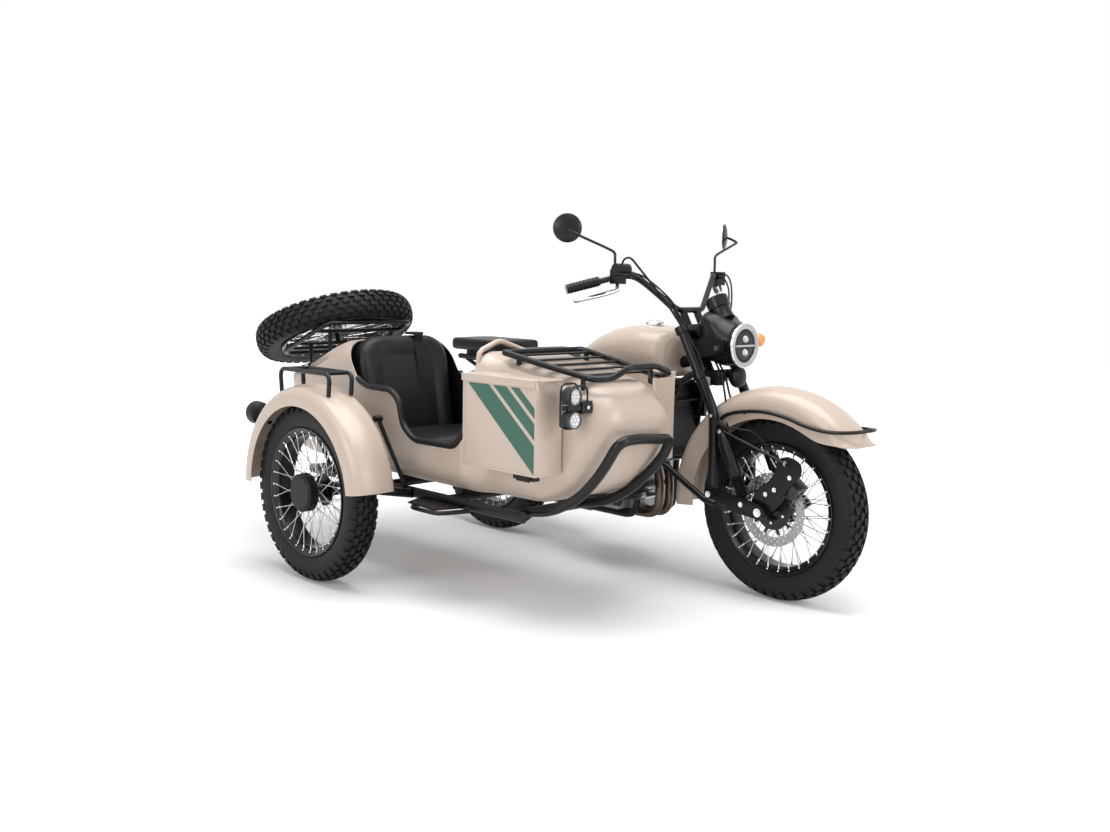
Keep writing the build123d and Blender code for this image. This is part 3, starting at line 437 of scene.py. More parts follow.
def wheel(name, place, body, kind):
    rim = bmesh.new()
    half = [
        (0, 205.5), (22, 205), (30, 206), (38, 211), (44, 221), (47.5, 229), (49, 230.5),
        (49, 233.3), (46, 233.6), (42, 231), (38, 226), (26, 213), (0, 211),
    ]
    lathe(rim, both_ways(half), place, RIM_STEPS)
    put(f"{name}_rim", rim, RIM_BLACK, body, [f"{name}_wheel"], 30)
    wires = bmesh.new()
    nipples = bmesh.new()
    for side in (-1, 1):
        for n in range(LACED):
            lead = 1 if n % 2 else -1
            rim_angle = 2 * pi * n / LACED
            hub_angle = rim_angle - lead * radians(33)
            foot = polar(54, hub_angle, side * (33 - lead))
            head = polar(213, rim_angle, side * 40)
            bar(wires, place @ foot, place @ head, 1.7, 6)
            dot(nipples, place @ polar(219, rim_angle, side * 44), 4.0, 8)
            inner = head + (foot - head).normalized() * 14
            bar(nipples, place @ inner, place @ head, 3.2, 6)
    put(f"{name}_spokes", wires, STEEL, body)
    put(f"{name}_nipples", nipples, CHROME, body)
    hub = bmesh.new()
    half = [
        (0, 9.6), (36, 9.6), (36, 30), (35.5, 56), (34, 58), (31, 58), (29, 55), (26, 36), (14, 30),
        (0, 29),
    ]
    lathe(hub, both_ways(half), place, 48)
    put(f"{name}_hub", hub, DARK_ALLOY if kind == "disc" else RIM_BLACK, body, angle=35)
    if kind == "disc":
        disc_brake(name, place, body)
    if kind == "cap":
        cap = bmesh.new()
        disc(cap, 71, 30, place @ Matrix.Translation((0, 0, -66)), 12)
        disc(cap, 60, 8, place @ Matrix.Translation((0, 0, -74)), 12, top=71)
        disc(cap, 34, 3, place @ Matrix.Translation((0, 0, -73.9)), 12)
        put(f"{name}_cap", cap, PLASTIC, body, angle=20)
        cap_bolts = bmesh.new()
        for n in range(6):
            a = radians(60 * n)
            disc(cap_bolts, 4.5, 4, place @ Matrix.Translation(polar(50, a, -73.5)), 6)
        put(f"{name}_cap_bolts", cap_bolts, DARK_ALLOY, body, angle=20)


def disc_brake(name, place, body):
    """Brake disc with rows of holes, its carrier arms, bolts and ribbed speed ring."""
    mesh = bmesh.new()
    cells, bands, inside, outside = 54, 3, 97.0, 130.0
    step = 2 * pi / cells
    deep = (outside - inside) / bands
    for band in range(bands):
        for cell in range(cells):
            mid_r = inside + (band + 0.5) * deep
            mid_a = (cell + 0.5) * step
            corners = [(-1, -1), (0, -1), (1, -1), (1, 0), (1, 1), (0, 1), (-1, 1), (-1, 0)]
            outer = []
            for u, v in corners:
                r = mid_r + u * deep / 2
                a = mid_a + v * step / 2
                outer.append(polar(r, a, -56))
            loop = [mesh.verts.new(p) for p in outer]
            if (band + cell) % 2:
                mesh.faces.new(loop)
                continue
            middle = polar(mid_r, mid_a, -56)
            hole = [mesh.verts.new(middle + (p - middle).normalized() * 3.6) for p in outer]
            for n in range(8):
                m = (n + 1) % 8
                mesh.faces.new((loop[n], loop[m], hole[m], hole[n]))
    bmesh.ops.remove_doubles(mesh, verts=mesh.verts, dist=0.01)
    bmesh.ops.solidify(mesh, geom=mesh.faces[:], thickness=4.6)
    low = min(v.co.z for v in mesh.verts)
    bmesh.ops.translate(mesh, vec=(0, 0, -60.8 - low), verts=mesh.verts)
    bmesh.ops.transform(mesh, matrix=place, verts=mesh.verts)
    put(f"{name}_disc", mesh, DISC_STEEL, body, angle=30)
    arms = bmesh.new()
    lathe(arms, [(-60.4, 40), (-60.4, 72), (-56.5, 72), (-56.5, 40)], place, 60)
    # the arms, then the ribs of the speed ring. columns: count, radius, height, size
    for count, radius, height, size in (
        (10, 85, -58.5, (28, 11, 3.6)), (48, 64, -60.7, (10, 4, 0.5)),
    ):
        for n in range(count):
            turn = Matrix.Rotation(2 * pi * n / count, 4, "Z")
            local = turn @ Matrix.Translation((radius, 0, height)) @ Matrix.Diagonal((*size, 1))
            bmesh.ops.create_cube(arms, size=1, matrix=place @ local)
    put(f"{name}_disc_carrier", arms, DARK_ALLOY, body, angle=30)
    bolts = bmesh.new()
    for n in range(5):
        a = 2 * pi * (n + 0.3) / 5
        disc(bolts, 5, 3, place @ Matrix.Translation(polar(48, a, -62.8)), 6)
    for n in range(10):
        a = 2 * pi * n / 10
        disc(bolts, 5, 5.5, place @ Matrix.Translation(polar(94, a, -61)), 12)
    put(f"{name}_disc_bolts", bolts, CHROME, body, angle=30)
    teeth = bmesh.new()
    lathe(teeth, [(-54, 36), (-54, 57), (-37, 57), (-37, 36)], place, 48)
    put(f"{name}_disc_boss", teeth, DARK_ALLOY, body, angle=30)


for name, place, body, kind in WHEELS:
    tyre(name, place, body)
    wheel(name, place, body, kind)


# Bodywork lofted through rounded sections. columns: x, half width, lowest, highest, corner radius

TANK = [
    (545, 40, 778, 806, 14), (552, 58, 764, 815, 22), (640, 95, 750, 880, 60),
    (780, 130, 748, 928, 84), (900, 148, 748, 942, 94), (1002, 134, 752, 928, 84),
    (1032, 108, 762, 906, 66), (1044, 82, 776, 886, 50),
]
TUB = [
    (-300, 226, 650, 718, 25), (-270, 238, 474, 731, 60), (-200, 250, 392, 759, 80),
    (88, 250, 376, 863, 90), (800, 250, 372, 867, 90), (890, 215, 374, 852, 85),
    (1090, 215, 377, 817, 85), (1180, 215, 400, 801, 95), (1270, 207, 446, 786, 112),
    (1330, 188, 500, 770, 122), (1368, 160, 552, 738, 92), (1390, 128, 598, 702, 51),
    (1399.5, 92, 628, 676, 23),
]


def finer(rows, per):
    """More rows between the given ones, along curves that never swing past them."""
    slopes = []
    for n in range(len(rows)):
        if n in (0, len(rows) - 1):
            slopes.append([0.0] * 4)
            continue
        here = []
        for k in range(1, 5):
            before = (rows[n][k] - rows[n - 1][k]) / (rows[n][0] - rows[n - 1][0])
            after = (rows[n + 1][k] - rows[n][k]) / (rows[n + 1][0] - rows[n][0])
            here.append(0.0 if before * after <= 0 else 2 * before * after / (before + after))
        slopes.append(here)
    for end, near in ((0, 1), (len(rows) - 1, len(rows) - 2)):
        for k in range(4):
            slopes[end][k] = (rows[near][k + 1] - rows[end][k + 1]) / (rows[near][0] - rows[end][0])
    out = []
    for n in range(len(rows) - 1):
        wide = rows[n + 1][0] - rows[n][0]
        for step in range(per):
            t = step / per
            row = [rows[n][0] + wide * t]
            for k in range(4):
                a, b = rows[n][k + 1], rows[n + 1][k + 1]
                sa, sb = slopes[n][k] * wide, slopes[n + 1][k] * wide
                row.append(
                    a * (2 * t ** 3 - 3 * t * t + 1) + sa * (t ** 3 - 2 * t * t + t)
                    + b * (3 * t * t - 2 * t ** 3) + sb * (t ** 3 - t * t)
                )
            out.append(row)
    out.append(list(rows[-1]))
    return out


def section(row, middle, shrink=0.0, facets=8):
    x, half, low, high, corner = row
    radius = max(corner - shrink, 2)
    reach = half - shrink - radius
    ring = []
    for turn, y, z in (
        (0, reach, high - shrink - radius),
        (90, -reach, high - shrink - radius),
        (180, -reach, low + shrink + radius),
        (270, reach, low + shrink + radius),
    ):
        for n in range(facets + 1):
            a = radians(turn + 90 * n / facets)
            ring.append(Vector((x, middle + y + radius * cos(a), z + radius * sin(a))))
    return ring


def inside(outline, x, z):
    found = False
    for n in range(len(outline)):
        x1, z1 = outline[n]
        x2, z2 = outline[(n + 1) % len(outline)]
        if (z1 > z) != (z2 > z) and x < (x2 - x1) * (z - z1) / (z2 - z1) + x1:
            found = not found
    return found


def cut_along(mesh, outline):
    """Cut a skin along an outline drawn from the side, so that faces lie on one side of it."""
    for n in range(len(outline)):
        x1, z1 = outline[n]
        x2, z2 = outline[(n + 1) % len(outline)]
        normal = Vector((-(z2 - z1), 0, x2 - x1))
        bmesh.ops.bisect_plane(
            mesh, geom=everything(mesh), plane_co=(x1, 0, z1), plane_no=normal, dist=0.001
        )


def keep_faces(mesh, wanted):
    gone = [f for f in mesh.faces if not wanted(f.calc_center_median())]
    bmesh.ops.delete(mesh, geom=gone, context="FACES")


def walled(mesh, wall):
    """Give a skin a wall on its inner side."""
    bmesh.ops.recalc_face_normals(mesh, faces=mesh.faces)
    before = [v.co.copy() for v in mesh.verts]
    span = max(v.y for v in before) - min(v.y for v in before)
    bmesh.ops.solidify(mesh, geom=mesh.faces[:], thickness=wall)
    after = max(v.co.y for v in mesh.verts) - min(v.co.y for v in mesh.verts)
    return after > span + wall / 2


COCKPIT = [
    (92, 1000), (92, 866), (187, 722), (246, 700), (396, 698), (445, 666), (472, 574), (535, 530),
    (765, 533), (815, 590), (842, 700), (842, 1000),
]
LID = [(-360, 700), (-215, 722), (-90, 760), (-28.5, 790), (-28.5, 1000), (-360, 1000)]


def rounded(outline, radius, steps=4):
    """The outline with its corners rounded, but for those beyond the tub's top and rear."""
    out = []
    count = len(outline)
    for n in range(count):
        a, b, c = (Vector((*outline[(n + k) % count], 0)) for k in (-1, 0, 1))
        if b.y > 990 or b.x < -350:
            out.append((b.x, b.y))
            continue
        into, off = (a - b), (c - b)
        reach = min(radius, into.length * 0.45, off.length * 0.45)
        p, q = b + into.normalized() * reach, b + off.normalized() * reach
        for k in range(steps + 1):
            t = k / steps
            point = p * (1 - t) ** 2 + b * 2 * t * (1 - t) + q * t * t
            out.append((point.x, point.y))
    return out


def tub_skin():
    mesh = bmesh.new()
    rows = finer(TUB, 5)
    long_rows = []
    for first, second in zip(rows, rows[1:]):
        long_rows.append(first)
        wide = second[0] - first[0]
        for k in range(1, int(wide // 40)):
            t = k / int(wide // 40)
            long_rows.append([a + (b - a) * t for a, b in zip(first, second)])
    long_rows.append(rows[-1])
    skin(mesh, [section(r, TUB_Y) for r in long_rows])
    return mesh


opening = rounded(COCKPIT, 28)
shell = tub_skin()
cut_along(shell, opening)
keep_faces(shell, lambda c: not inside(opening, c.x, c.z))
cut_along(shell, LID)
grown = [(x + 3, z - 3) for x, z in LID]
cut_along(shell, grown)
keep_faces(shell, lambda c: not inside(grown, c.x, c.z))
if walled(shell, 4.0):
    raise SystemExit("the tub's wall went outwards")
wall_ring = section([86.5, 250, 376, 863, 90], TUB_Y, 4.2)
back = bmesh.new()
skin(
    back,
    [[Vector((84, p.y, p.z)) for p in wall_ring], [Vector((89, p.y, p.z)) for p in wall_ring]],
)
put("tub_bulkhead", back, LEATHER, "chassis")
for side in (-1, 1):
    middle = TUB_Y + side * BOOT_HINGE_OFF
    for off in (-25, 11):
        brick(shell, (BOOT_HINGE_X, 12), (middle + off, middle + off + 14), (824, BOOT_HINGE_Z))
        ends = [(BOOT_HINGE_X, middle + y, BOOT_HINGE_Z) for y in (off, off + 14)]
        bar(shell, *ends, 6, 12)
bmesh.ops.recalc_face_normals(shell, faces=shell.faces)
for face in shell.faces:
    centre = face.calc_center_median()
    outwards = centre - Vector((centre.x, TUB_Y, 620))
    if face.normal.dot(outwards) < 0 and centre.x > 0 and abs(face.normal.x) < 0.9:
        face.material_index = 1
put("tub_skin", shell, [SAND, LEATHER], "chassis", ["sidecar_tub", "sidecar_nose"], 32)
roll = bmesh.new()
for side in (-1, 1):
    edge = [Vector((x, TUB_Y + side * 248.5, z)) for x, z in opening if 186 < x < 830 and z < 726]
    sweep(roll, bent(edge, 12, 2), 11.5, 14)
put("cockpit_roll", roll, LEATHER, "chassis", ["cockpit_trim"])
lining = bmesh.new()
for side in (-1, 1):
    y = sorted((TUB_Y + side * 225.5, TUB_Y + side * 245))
    brick(lining, (540, 760), y, (505, 531))
put("sill_lining", lining, LEATHER, "chassis")
crease = bmesh.new()
for side in (-1, 1):
    edge = [(-262, 727), (-180, 748), (-90, 776), (-46, 802), (-38, 826)]
    sweep(crease, eased([(x, TUB_Y + side * 249.6, z) for x, z in edge], 4), 2.2, 6)
put("boot_crease", crease, PLASTIC, "boot_lid_set")


lid = tub_skin()
cut_along(lid, LID)
keep_faces(lid, lambda c: inside(LID, c.x, c.z))
walled(lid, 4.0)
for side in (-1, 1):
    middle = TUB_Y + side * BOOT_HINGE_OFF
    brick(lid, (-60, -29), (middle - 10, middle + 10), (810, BOOT_HINGE_Z))
    ends = [(BOOT_HINGE_X, middle + y, BOOT_HINGE_Z) for y in (-10.7, 10.7)]
    bar(lid, *ends, 6, 12)
put("boot_lid_skin", lid, SAND, "boot_lid_set", ["boot_lid"], 32)
lock = bmesh.new()
disc(lock, 9, 2.4, own_axes((-150, TUB_Y - 245.5, 748), (0, -1, 0.35)), 20)
put("boot_lock", lock, PLASTIC, "boot_lid_set")

tank = bmesh.new()
tank_rows = finer(TANK, 6)
skin(tank, [section(r, 0) for r in tank_rows])
bmesh.ops.bisect_plane(
    tank, geom=everything(tank), plane_co=(0, 0, 752), plane_no=(0, 0, -1),
    clear_outer=True, dist=0.01,
)
bmesh.ops.holes_fill(tank, edges=[e for e in tank.edges if e.is_boundary], sides=0)
put("tank_skin", tank, SAND, "chassis", ["fuel_tank"], 40)
seam = bmesh.new()
for side in (-1, 1):
    line = [Vector((r[0], side * (r[1] - 0.6), 790 - (r[0] - 545) * 0.02)) for r in tank_rows[8:-6]]
    sweep(seam, line, 1.1, 6)
put("tank_seam", seam, SAND, "chassis")

cap = bmesh.new()
lathe(
    cap, [(0, 0.5), (0, 36), (6, 36), (9, 34), (11, 27), (14, 24), (16.3, 20), (16.5, 0.5)],
    own_axes((896, 0, 945.3), (0, 0, 1)), 40,
)
put("filler_cap_shown", cap, CHROME, "chassis", ["filler_cap"], 30)


def fender(name, centre, rows, angles, body, node, steps=48, cut=None, wall=3.0):
    """A rounded fender from rows of (y, radius) across it, swept about the axle."""
    mesh = bmesh.new()
    rings = []
    for n in range(steps + 1):
        a = radians(angles[0] + (angles[1] - angles[0]) * n / steps)
        ring = []
        for y, r in rows:
            if cut and a < radians(80):
                level = (cut[0][2] - centre[1]) / sin(a)
                r = min(
                    max(r, (rows[0][1] ** 22 + level ** 22) ** (1 / 22)), max(q for _, q in rows),
                )
            ring.append(Vector((centre[0] + r * cos(a), y, centre[1] + r * sin(a))))
        rings.append(ring)
    skin(mesh, rings, closed_ring=False, caps=False)
    if cut:
        ahead = [f for f in mesh.faces if f.calc_center_median().x > centre[0]]
        parts = set(ahead)
        for face in ahead:
            parts.update(face.edges)
            parts.update(face.verts)
        bmesh.ops.bisect_plane(
            mesh, geom=list(parts), plane_co=cut[0], plane_no=cut[1], clear_outer=True, dist=0.01,
        )
    walled(mesh, wall)
    put(name, mesh, SAND, body, [node], 40)


def crown(half, radius, skirt, corner, middle=0.0, rise=8.0):
    """Rows across a fender: straight skirts, round shoulders and a slightly domed top."""
    side = [
        (half, skirt), (half, (skirt + radius - rise - corner) / 2), (half, radius - rise - corner),
    ]
    for n in range(1, 9):
        a = radians(90 * n / 8)
        side.append((half - corner * (1 - cos(a)), radius - rise - corner * (1 - sin(a))))
    flat = half - corner
    for n in range(1, 5):
        y = flat * (1 - n / 4)
        side.append((y, radius - rise * (y / flat) ** 2 if flat else radius))
    return [(middle + y, r) for y, r in side] + [(middle - y, r) for y, r in reversed(side[:-1])]


fender(
    "front_fender_shown", (FRONT_FENDER_X, AXLE_HEIGHT), crown(88, 428, 318, 52, rise=6), (36, 186),
    "steering", "front_fender", cut=((FRONT_FENDER_X + 330, 0, 583), (0.0, 0, -1)),
)
fender(
    "rear_fender_shown", (0, AXLE_HEIGHT), crown(80, 392, 340, 30, rise=5), (62, 168), "chassis",
    "rear_fender",
)
fender(
    "sidecar_fender_shown", (SIDECAR_LEAD, AXLE_HEIGHT),
    crown(86.5, 392, 315, 44, middle=SIDECAR_FENDER_Y, rise=6), (7, 180),
    "chassis", "sidecar_fender",
)

# Side cases with lids and the stripes on the right one
for name in ("case_right", "case_left", "case_lid_right", "case_lid_left"):
    from_cad(name, SAND, 35, 1.5)
stripes = bmesh.new()
lines = bmesh.new()


def on_case(u, v):
    return Vector((CASE_REAR + CASE_LENGTH * u, CASE_FACE_Y, CASE_TOP - CASE_HEIGHT * v))


def patch(mesh, corners, thick):
    first = [mesh.verts.new(on_case(u, v)) for u, v in corners]
    second = [mesh.verts.new(on_case(u, v) + Vector((0, -thick, 0))) for u, v in corners]
    count = len(corners)
    mesh.faces.new(first)
    mesh.faces.new(second[::-1])
    for n in range(count):
        m = (n + 1) % count
        mesh.faces.new((first[n], first[m], second[m], second[n]))


for corners in (
    [(0.075, 0.085), (0.37, 0.085), (0.985, 0.67), (0.985, 0.975)],
    [(0.43, 0.085), (0.61, 0.085), (0.985, 0.44), (0.985, 0.61)],
    [(0.67, 0.085), (0.78, 0.085), (0.985, 0.28), (0.985, 0.385)],
):
    patch(stripes, corners, 0.3)
put("case_stripes", stripes, GREEN, "chassis")
for a, b in (((0.03, 0.085), (0.03, 0.975)), ((0.03, 0.975), (0.96, 0.975))):
    bar(lines, on_case(*a), on_case(*b), 0.8, 6)
put("case_border", lines, SAND, "chassis")

# Steel, castings and small parts that keep the CAD form. columns: CAD piece, finish, sharpest
# smooth edge in degrees, softening in mm
KEPT = [
    ("bike_frame", BLACK, 50, 0), ("engine", ALLOY, 35, 2.0), ("radiator", PLASTIC, 40, 1.0),
    ("side_covers", SAND, 40, 1.0), ("rear_suspension", BLACK, 50, 0), ("tail_lamp", RED, 40, 2.0),
    ("sidecar_frame", BLACK, 50, 0), ("nose_rack", BLACK, 50, 0), ("grab_handle", SAND, 60, 0),
    ("footboard", BLACK, 50, 0), ("spare_rack", BLACK, 50, 0), ("fork", BLACK, 50, 0),
    ("leading_arm", BLACK, 40, 1.5), ("brake_caliper", DARK_ALLOY, 40, 2.0),
    ("torque_rod", BLACK, 50, 0), ("handlebar", BLACK, 50, 0), ("brake_hose", HOSE, 65, 0),
]
for name, look, angle, soften in KEPT:
    from_cad(name, look, angle, soften)

# Front and rear spring units
front_springs = bmesh.new()
front_bodies = bmesh.new()
for side in (-1, 1):
    y = side * 120.0
    low, high = Vector((1441, y, 345)), Vector((1325, y, 588))
    along = high - low
    long = along.length
    sleeve = own_axes(low, along, (0, 1, 0))
    cover = [
        (0.40 * long, 1), (0.38 * long, 24.5), (0.40 * long, 26), (0.86 * long, 26),
        (0.92 * long, 19), (0.98 * long, 14), (0.98 * long, 1),
    ]
    lathe(front_springs, cover, sleeve, 32)
    bellows = [(0.08 * long, 1), (0.08 * long, 15)]
    for n in range(8):
        bellows += [((0.10 + 0.034 * n) * long, 22.5), ((0.117 + 0.034 * n) * long, 17)]
    bellows += [(0.39 * long, 20), (0.39 * long, 1)]
    lathe(front_bodies, bellows, sleeve, 32)
    bar(front_bodies, low, low + along * 0.12, 9, 16)
    for point in (low, high):
        bar(front_bodies, (point.x, side * 109, point.z), (point.x, side * 130.7, point.z), 13, 20)
put("front_springs", front_springs, BLACK, "steering", ["front_shocks"])
put("front_dampers", front_bodies, HOSE, "steering")
rear_springs = bmesh.new()
for side in (-1, 1):
    low, high = Vector((80, side * 130, 412)), Vector((150, side * 130, 628))
    coil(rear_springs, low, high, 20.6, 3.0, 9)
put("rear_springs", rear_springs, BLACK, "chassis")

# Headlamp with its cowl and ears, gauge, left turn lamp
LAMP_Z = 887
lamp = facing_ahead(1320.3, 0, LAMP_Z)
back_plate = bmesh.new()
disc(back_plate, 72.5, 3, lamp, 48)
put("lamp_reflector", back_plate, PLASTIC, "steering", ["headlamp_lens"])
shell = bmesh.new()
lathe(
    shell, [
        (-92, 0.5), (-82, 34), (-58, 62), (-24, 79), (2, 80), (2, 73.4), (-2, 73.2), (-2, 0.5),
    ], lamp, 56,
)
cowl_rows = [
    (1302, 79, 808, 966, 78), (1262, 83, 812, 980, 62), (1225, 85, 822, 1002, 50),
    (1185, 80, 836, 1006, 45), (1162, 62, 852, 988, 40),
]
skin(shell, [section(r, 0) for r in finer(cowl_rows[::-1], 4)])
put("headlamp_shell", shell, BLACK, "steering", ["headlamp"], 38)
ears = bmesh.new()
ear = [(1148, 885), (1178, 838), (1225, 845), (1296, 865), (1296, 909), (1215, 916)]
for side in (-1, 1):
    skin(ears, [[Vector((x, side * y, z)) for x, z in ear] for y in (84, 92)])
    bar(ears, (1275, side * 84, 879), (1275, side * 101, 879), 17, 24)
bar(ears, (1286, 84, 897), (1286, 112, 902), 8, 12)
lathe(
    ears, [(-26, 0.5), (-22, 18), (-6, 24), (0, 24.5), (0, 0.5)], facing_ahead(1290, 118, 903), 28,
)
put("headlamp_ears", ears, PLASTIC, "steering", angle=38)
ring = bmesh.new()
lathe(ring, [(3, 60), (3, 76), (7, 75.5), (9, 72), (9, 64), (6.5, 61)], lamp, 56)
brick(ring, (1323.3, 1327.2), (-54, 54), (883.5, 890.5))
put("lamp_light_ring", ring, LED, "steering")
inner = bmesh.new()
lathe(inner, [(2.9, 20), (2.9, 50), (3.6, 48), (3.6, 22)], lamp, 40)
put("lamp_projectors", inner, DARK_ALLOY, "steering")
bowls = bmesh.new()
for z in (-24, 24):
    dot(bowls, lamp @ Vector((0, z, 1)), 15, 20)
put("lamp_bowls", bowls, GLASS, "steering")
bezel = bmesh.new()
lathe(bezel, [(1, 76.2), (1, 81.2), (5, 81.0), (7.6, 79), (7.6, 76.4)], lamp, 56)
put("lamp_bezel", bezel, CHROME, "steering")
gauge = own_axes((1187.5, 0, 1049.5), (-28, 0, 50), (0, 1, 0))
case = bmesh.new()
lathe(
    case,
    [
        (-84, 1), (-84, 40), (-58, 36), (-40, 36), (-38, 42), (2, 42), (4, 40), (4, 37.4), (-1, 37),
        (-1, 1),
    ],
    gauge, 48,
)
put("gauge_case", case, BLACK, "steering")
dial = bmesh.new()
disc(dial, 37, 1.0, gauge, 40)
put("gauge_glass", dial, GLASS, "steering")
ambers = bmesh.new()
lamp_axes = facing_ahead(1290.3, 118, 903)
lathe(ambers, [(0, 0.5), (0, 24.4), (16, 24.4), (23, 20), (27, 12), (28, 0.5)], lamp_axes, 28)
put("turn_lenses", ambers, AMBER, "steering")

# Bars, controls and mirrors
grips = bmesh.new()
levers = bmesh.new()
glass = bmesh.new()
for side in (-1, 1):
    inner_end, outer_end = Vector((918, side * 338, 1107)), Vector((852, side * 439, 1075))
    along = (outer_end - inner_end).normalized()
    for n in range(9):
        where = inner_end + along * (8 + 12 * n)
        disc(grips, 17.9, 6, own_axes(where, along, (0, 0, 1)), 20)
    line = eased([
        (963, side * 289, 1092), (966, side * 300, 1073), (940, side * 350, 1056),
        (915, side * 412, 1042), (903, side * 440, 1036),
    ])
    sweep(levers, line, 6.6, 10)
    dot(levers, (903, side * 441, 1036), 8.5, 10)
put("bar_grips", grips, HOSE, "steering")
put("hand_levers", levers, STEEL, "steering")
housings = bmesh.new()
for side in (-1, 1):
    faces = Vector((1, side * (0.62 if side > 0 else 1), 0)).normalized()
    shell_axes = own_axes((862, side * 450, 1293), faces, (0, 0, 1))
    lathe(
        housings, [(0, 0.5), (0, 50.5), (3, 51.8), (7, 50), (12, 38), (15, 20), (16, 0.5)],
        shell_axes, 40,
    )
    stem = eased([
        (948, side * 290, 1150), (948, side * 290, 1190), (947, side * 292, 1208),
        (943, side * 318, 1222), (925, side * 440, 1262), (918, side * 462, 1272),
        (880, side * 466, 1287), (868, side * 456, 1292),
    ], 6)
    sweep(housings, stem, 5, 8)
    disc(
        glass, 47, 0.6, own_axes(Vector((862, side * 450, 1293)) - faces * 0.2, -faces, (0, 0, 1)),
        40,
    )
put("mirror_housings", housings, BLACK, "steering", ["mirrors"])
put("mirror_glasses", glass, MIRROR, "steering")

# Lamps on the nose with their guard, red lenses
glasses = bmesh.new()
cells = bmesh.new()
barrels = bmesh.new()
guards = bmesh.new()
for z in (757, 684):
    face = facing_ahead(1349, -882, z)
    lathe(
        barrels,
        [(-48, 1), (-48, 20), (-40, 25), (0, 26.5), (2, 26.5), (2, 23.4), (-2, 23), (-2, 1)], face,
        36,
    )
    for n in range(4):
        lathe(
            barrels, [(-34 + 8 * n, 25), (-34 + 8 * n, 28), (-31 + 8 * n, 28), (-31 + 8 * n, 25)],
            face, 36,
        )
    disc(glasses, 23, 1.2, face @ Matrix.Translation((0, 0, -2)), 32)
    for n in range(6):
        a = radians(60 * n)
        dot(cells, face @ polar(13, a, -1), 4.5, 10)
    dot(cells, face @ Vector((0, 0, -1)), 4.5, 10)
for x, low, high in ((1322, 668, 796), (1364, 728, 792)):
    sweep(
        guards, bent([(x, -920, low), (x, -920, high), (x, -846, high), (x, -846, 738)], 24), 3.2,
        8,
    )
bar(guards, (1322, -920, 738), (1364, -920, 738), 3.2, 8)
sweep(guards, bent([(1322, -920, 668), (1330, -905, 658), (1330, -880, 656)], 12), 3.2, 8)
brick(guards, (1314, 1340), (-905, -795), (713, 728))
brick(guards, (1338, 1343), (-846, -800), (702, 740))
brick(guards, (1300, 1338), (-846, -800), (702, 740))
put("nose_lamp_barrels", barrels, GREY, "chassis", ["aux_lamps"], 35)
put("nose_lamp_guards", guards, BLACK, "chassis")
put("nose_lamp_glass", glasses, GLASS, "chassis")
put("nose_lamp_cells", cells, CHROME, "chassis")
fixing = bmesh.new()
bar(fixing, (1343, -823, 721), (1348, -823, 721), 6, 6)
put("nose_lamp_bolt", fixing, CHROME, "chassis")
reds = bmesh.new()
disc(reds, 38, 2.0, own_axes((-178, -1101, 575), (-1, 0, 0), (0, 1, 0)), 32)
brick(reds, (-373.5, -372), (-40, 40), (540, 585))
put("red_lenses", reds, RED, "chassis")

# Round tail lamp of the sidecar, loop before its nose, rails, fender guard, exhaust, rack
tail = bmesh.new()
lathe(
    tail, [(0, 1), (0, 42), (6, 45), (40, 42), (52, 30), (56, 1)], facing_ahead(-177.5, -1101, 575),
    40,
)
bar(tail, (-130, -1101, 570), (-70, -1101, 546), 9, 12)
put("sidecar_tail_lamp", tail, PLASTIC, "chassis", ["sidecar_lamp"], 38)
loop = bmesh.new()
route = [
    (1041, -785, 337), (1150, -785, 354), (1275, -785, 415), (1368, -785, 505), (1446, -785, 620),
    (1446, -700, 624), (1428, -524, 606), (1408, -524, 556), (1352, -524, 494), (1262, -524, 415),
    (1150, -524, 356), (1041, -524, 337),
]
sweep(loop, bent(route, 58), 17, 18)
put("loop_tube", loop, BLACK, "chassis", ["bumper_loop"])
rails = bmesh.new()
for y in (-1142, -1048):
    # where the rail's two feet meet the fender's crown
    rear_foot, foot = (
        AXLE_HEIGHT + sqrt(392.6 ** 2 - (x - SIDECAR_LEAD) ** 2) for x in (86, 392)
    )
    sweep(
        rails, bent([(86, y, rear_foot - 6), (76, y, 766), (400, y, 766), (392, y, foot - 6)], 34),
        8, 12,
    )
for x in (112, 364):
    bar(rails, (x, -1142, 766), (x, -1048, 766), 7.5, 12)
put("fender_rail_tube", rails, BLACK, "chassis", ["fender_rail"])
guard = bmesh.new()
half = [
    (1302, -95, 628), (1330, -96, 646), (1390, -96.5, 662), (1487, -96.5, 671), (1578, -96.5, 660),
    (1655, -96.5, 640), (1725, -95, 630), (1785, -84, 630), (1828, -56, 634),
]
nose = [(1846, -24, 637), (1850, 0, 638)]
whole = half + nose + [(x, -y, z) for x, y, z in nose[:1] + half[::-1]]
sweep(guard, eased(whole, 6), 6.5, 12)
for x, z in ((1400, 664), (1640, 645)):
    for side in (-1, 1):
        bar(guard, (x, side * 88, z - 6), (x, side * 97, z), 6, 10)
put("fender_guard", guard, BLACK, "steering", ["fender_bar"])
pipes = bmesh.new()
for y in (-64, -6):
    header = [
        (906, y, 640), (938, y, 640), (964, y, 450), (1000, y, 372), (1000, y, 226), (640, y, 214),
    ]
    sweep(pipes, bent(header, 62, 8), 17, 16)
brick(pipes, (600, 660), (-84, 14), (190, 232))
put("header_pipes", pipes, HEADER, "chassis", ["exhaust"], 40)
link = bmesh.new()
sweep(link, bent([
    (602, -36, 205), (520, -20, 190), (430, 190, 190), (332, 212, 300), (300, 212, 319),
], 60, 8), 22, 16)
put("link_pipe", link, MUFFLER, "chassis")
rack = bmesh.new()
front = [(943, -185, 866), (1140, -172, 834), (1325, -148, 803), (1352, -90, 806), (1382, -50, 842)]
far = [(1384, 78, 842), (1366, 172, 812), (1328, 150, 803), (1140, 172, 834), (943, 185, 866)]
